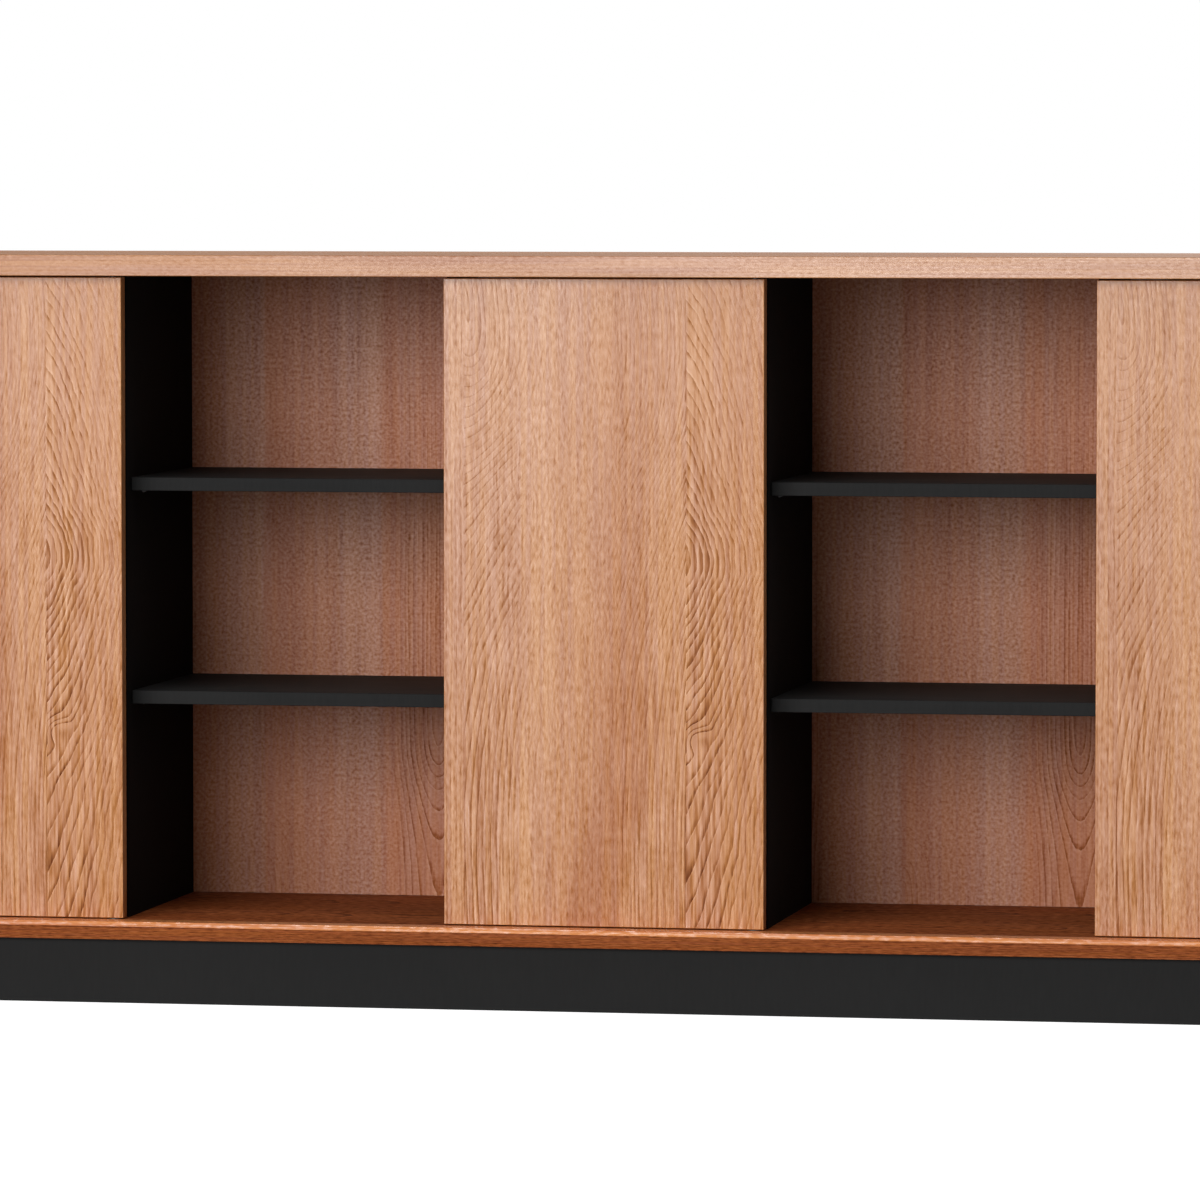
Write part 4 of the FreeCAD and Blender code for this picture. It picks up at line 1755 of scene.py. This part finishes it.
@dataclass
class Plinth:
    """Rails, corner blocks and glides under the base.

    Attributes:
        finishes: What the pieces wear.
        glide_view: Side view of a glide and its nail.
        screw_turns: Turns of thread on a screw.
    """

    finishes: Finishes
    glide_view: Curve = (
        (0.0, 0.66), (0.08, 0.80), (0.28, 0.93), (0.60, SNUG), (0.98, SNUG), (1.02, 0.97),
        (1.30, 0.97), (1.34, 0.84), (1.50, 0.97), (1.54, 0.84), (1.78, 0.97), (2.0, 0.12),
    )
    screw_turns: int = 10

    def build(self) -> None:
        """Make the screws and the glides."""
        wear = self.finishes
        Screws("plinth_screws", "zinc_steel", wear.zinc, head=Head.PAN, turns=self.screw_turns).build()
        Turned(
            "floor_glides", "black_plastic", wear.black, side=RIGHT, axis=2, view=self.glide_view,
        ).build()

    def dress(self) -> None:
        """Put the finishes on the rails and blocks."""
        wear = self.finishes
        wear.plinth.dress(n for n in named("plinth_") if n not in ("plinth_blocks", "plinth_screws"))
        wear.bare.dress(["plinth_blocks"])


@dataclass(frozen=True)
class Lamp:
    """A soft rectangular lamp.

    Attributes:
        name: Name of the lamp.
        bearing: Degrees that it stands to the right of the front, seen from above.
        lift: Degrees that it stands above the cabinet's middle.
        distance: How far it stands from the cabinet's middle, in metres.
        size: Width and height in metres.
        level: Brightness that it gives a white board facing it, as a share of full white.
    """

    name: str
    bearing: float
    lift: float
    distance: float
    size: tuple[float, float]
    level: float

    def hang(self, aim: Vector) -> None:
        """Hang the lamp so that it shines at a point."""
        bearing, lift = math.radians(self.bearing), math.radians(self.lift)
        flat = self.distance * math.cos(lift)
        away = Vector((flat * math.sin(bearing), -flat * math.cos(bearing), self.distance * math.sin(lift)))
        data = bpy.data.lights.new(self.name, "AREA")
        data.shape = "RECTANGLE"
        data.size, data.size_y = self.size
        data.energy = self.level * (math.pi * self.distance) ** 2
        lamp = bpy.data.objects.new(self.name, data)
        lamp.location = aim + away
        lamp.rotation_euler = (-away).to_track_quat("-Z", "Y").to_euler()
        lamp.visible_camera = False
        bpy.context.scene.collection.objects.link(lamp)


@dataclass
class Studio:
    """Camera, soft light, pale floor and white surround.

    Attributes:
        eye: Place of the camera.
        yaw: Its turn to the left about the z axis, in radians.
        pitch: How far it looks down, in radians.
        lens: Its focal length in millimetres.
        middle: Point that the lamps shine at.
        lamps: The lamps.
        ambient: Strength of the even light from all round.
        floor_half: Half the floor's side in metres.
        floor_tone: Colour of the floor.
        floor_fleck: Colour of the faint flecks in it.
        floor_glow: How white the floor looks where no shadow lies.
        floor_fineness: Flecks in one metre.
    """

    eye: tuple[float, float, float] = (1.69312, -9.24272, 1.02085)
    yaw: float = 0.18499
    pitch: float = 0.05721
    lens: float = 233.89
    middle: tuple[float, float, float] = (0.0, 0.0, 0.5)
    lamps: tuple[Lamp, ...] = (
        Lamp("key_softbox", -23.0, 12.5, 16.0, (12.9, 7.2), 0.94),
        Lamp("overhead_softbox", 0.0, 62.0, 5.0, (3.5, 2.5), 0.2),
        Lamp("back_softbox", 150.0, 18.0, 5.0, (3.0, 2.2), 0.8),
    )
    ambient: float = 0.08
    floor_half: float = 9.0
    floor_tone: Colour = tone(205, 205, 204)
    floor_fleck: Colour = tone(200, 200, 199)
    floor_glow: float = 0.93
    floor_fineness: float = 40.0

    def build(self) -> None:
        """Set up everything around the object."""
        scene = bpy.context.scene
        scene.view_settings.view_transform = "Standard"
        self._camera(scene)
        for lamp in self.lamps:
            lamp.hang(Vector(self.middle))
        self._world(scene)
        self._floor(scene)

    def _camera(self, scene: bpy.types.Scene) -> None:
        """Place the camera where the photograph was taken from."""
        data = bpy.data.cameras.new("camera")
        data.lens = self.lens
        camera = bpy.data.objects.new("camera", data)
        camera.location = self.eye
        camera.rotation_euler = (math.pi / 2 - self.pitch, 0.0, self.yaw)
        scene.collection.objects.link(camera)
        scene.camera = camera

    @staticmethod
    def _seen(sheet: Sheet) -> Signal:
        """One for rays that show the surround: straight from the camera, or by a mirror or glass."""
        rays = sheet.add("ShaderNodeLightPath").socket.node.outputs
        names = ("Is Camera Ray", "Is Glossy Ray", "Is Transmission Ray")
        camera, glossy, through = (Signal(sheet, rays[name]) for name in names)
        return (camera + glossy + through).math("MINIMUM", 1.0)

    def _world(self, scene: bpy.types.Scene) -> None:
        """White surround for the eye, weak even light for the object."""
        world = bpy.data.worlds.new("surround")
        world.use_nodes = True
        world.node_tree.nodes.clear()
        sheet = Sheet(world.node_tree)
        strength = self._seen(sheet) * (1 - self.ambient) + self.ambient
        sockets = {"Color": tone(255, 255, 255), "Strength": strength}
        light = sheet.add("ShaderNodeBackground", sockets=sockets)
        sheet.add("ShaderNodeOutputWorld", sockets={"Surface": light})
        scene.world = world

    def _floor(self, scene: bpy.types.Scene) -> None:
        """Lay a pale floor that looks white and keeps the object's shadow."""
        paint = Paint("pale_floor")
        x, y, _ = paint.split("Object")
        fleck = paint.noise(paint.point(x * self.floor_fineness, y * self.floor_fineness))
        glow = self._seen(paint) * self.floor_glow
        colour = paint.blend(fleck, self.floor_fleck, self.floor_tone)
        paint.close(
            colour, fleck * 0.1 + 0.8, fleck, 0.05 * MILLIMETRE,
            Emission_Color=paint.add("ShaderNodeCombineColor", sockets={0: glow, 1: glow, 2: glow}),
            Emission_Strength=1.0, Specular_IOR_Level=0.0,
        )
        half = self.floor_half
        mesh = bpy.data.meshes.new("floor")
        corners = [(-half, -half, 0), (half, -half, 0), (half, half, 0), (-half, half, 0)]
        mesh.from_pydata(corners, [], [(0, 1, 2, 3)])
        mesh.materials.append(paint.material)
        floor = bpy.data.objects.new("floor", mesh)
        scene.collection.objects.link(floor)


def main() -> None:
    """Dress the cabinet and set up the studio."""
    logging.basicConfig(level=logging.INFO, format="%(name)s: %(message)s")
    finishes = Finishes.measured()
    for part in (Carcass(finishes), Doors(finishes), Plinth(finishes)):
        part.build()
        part.dress()
    Studio().build()


if __name__ == "__main__":
    main()
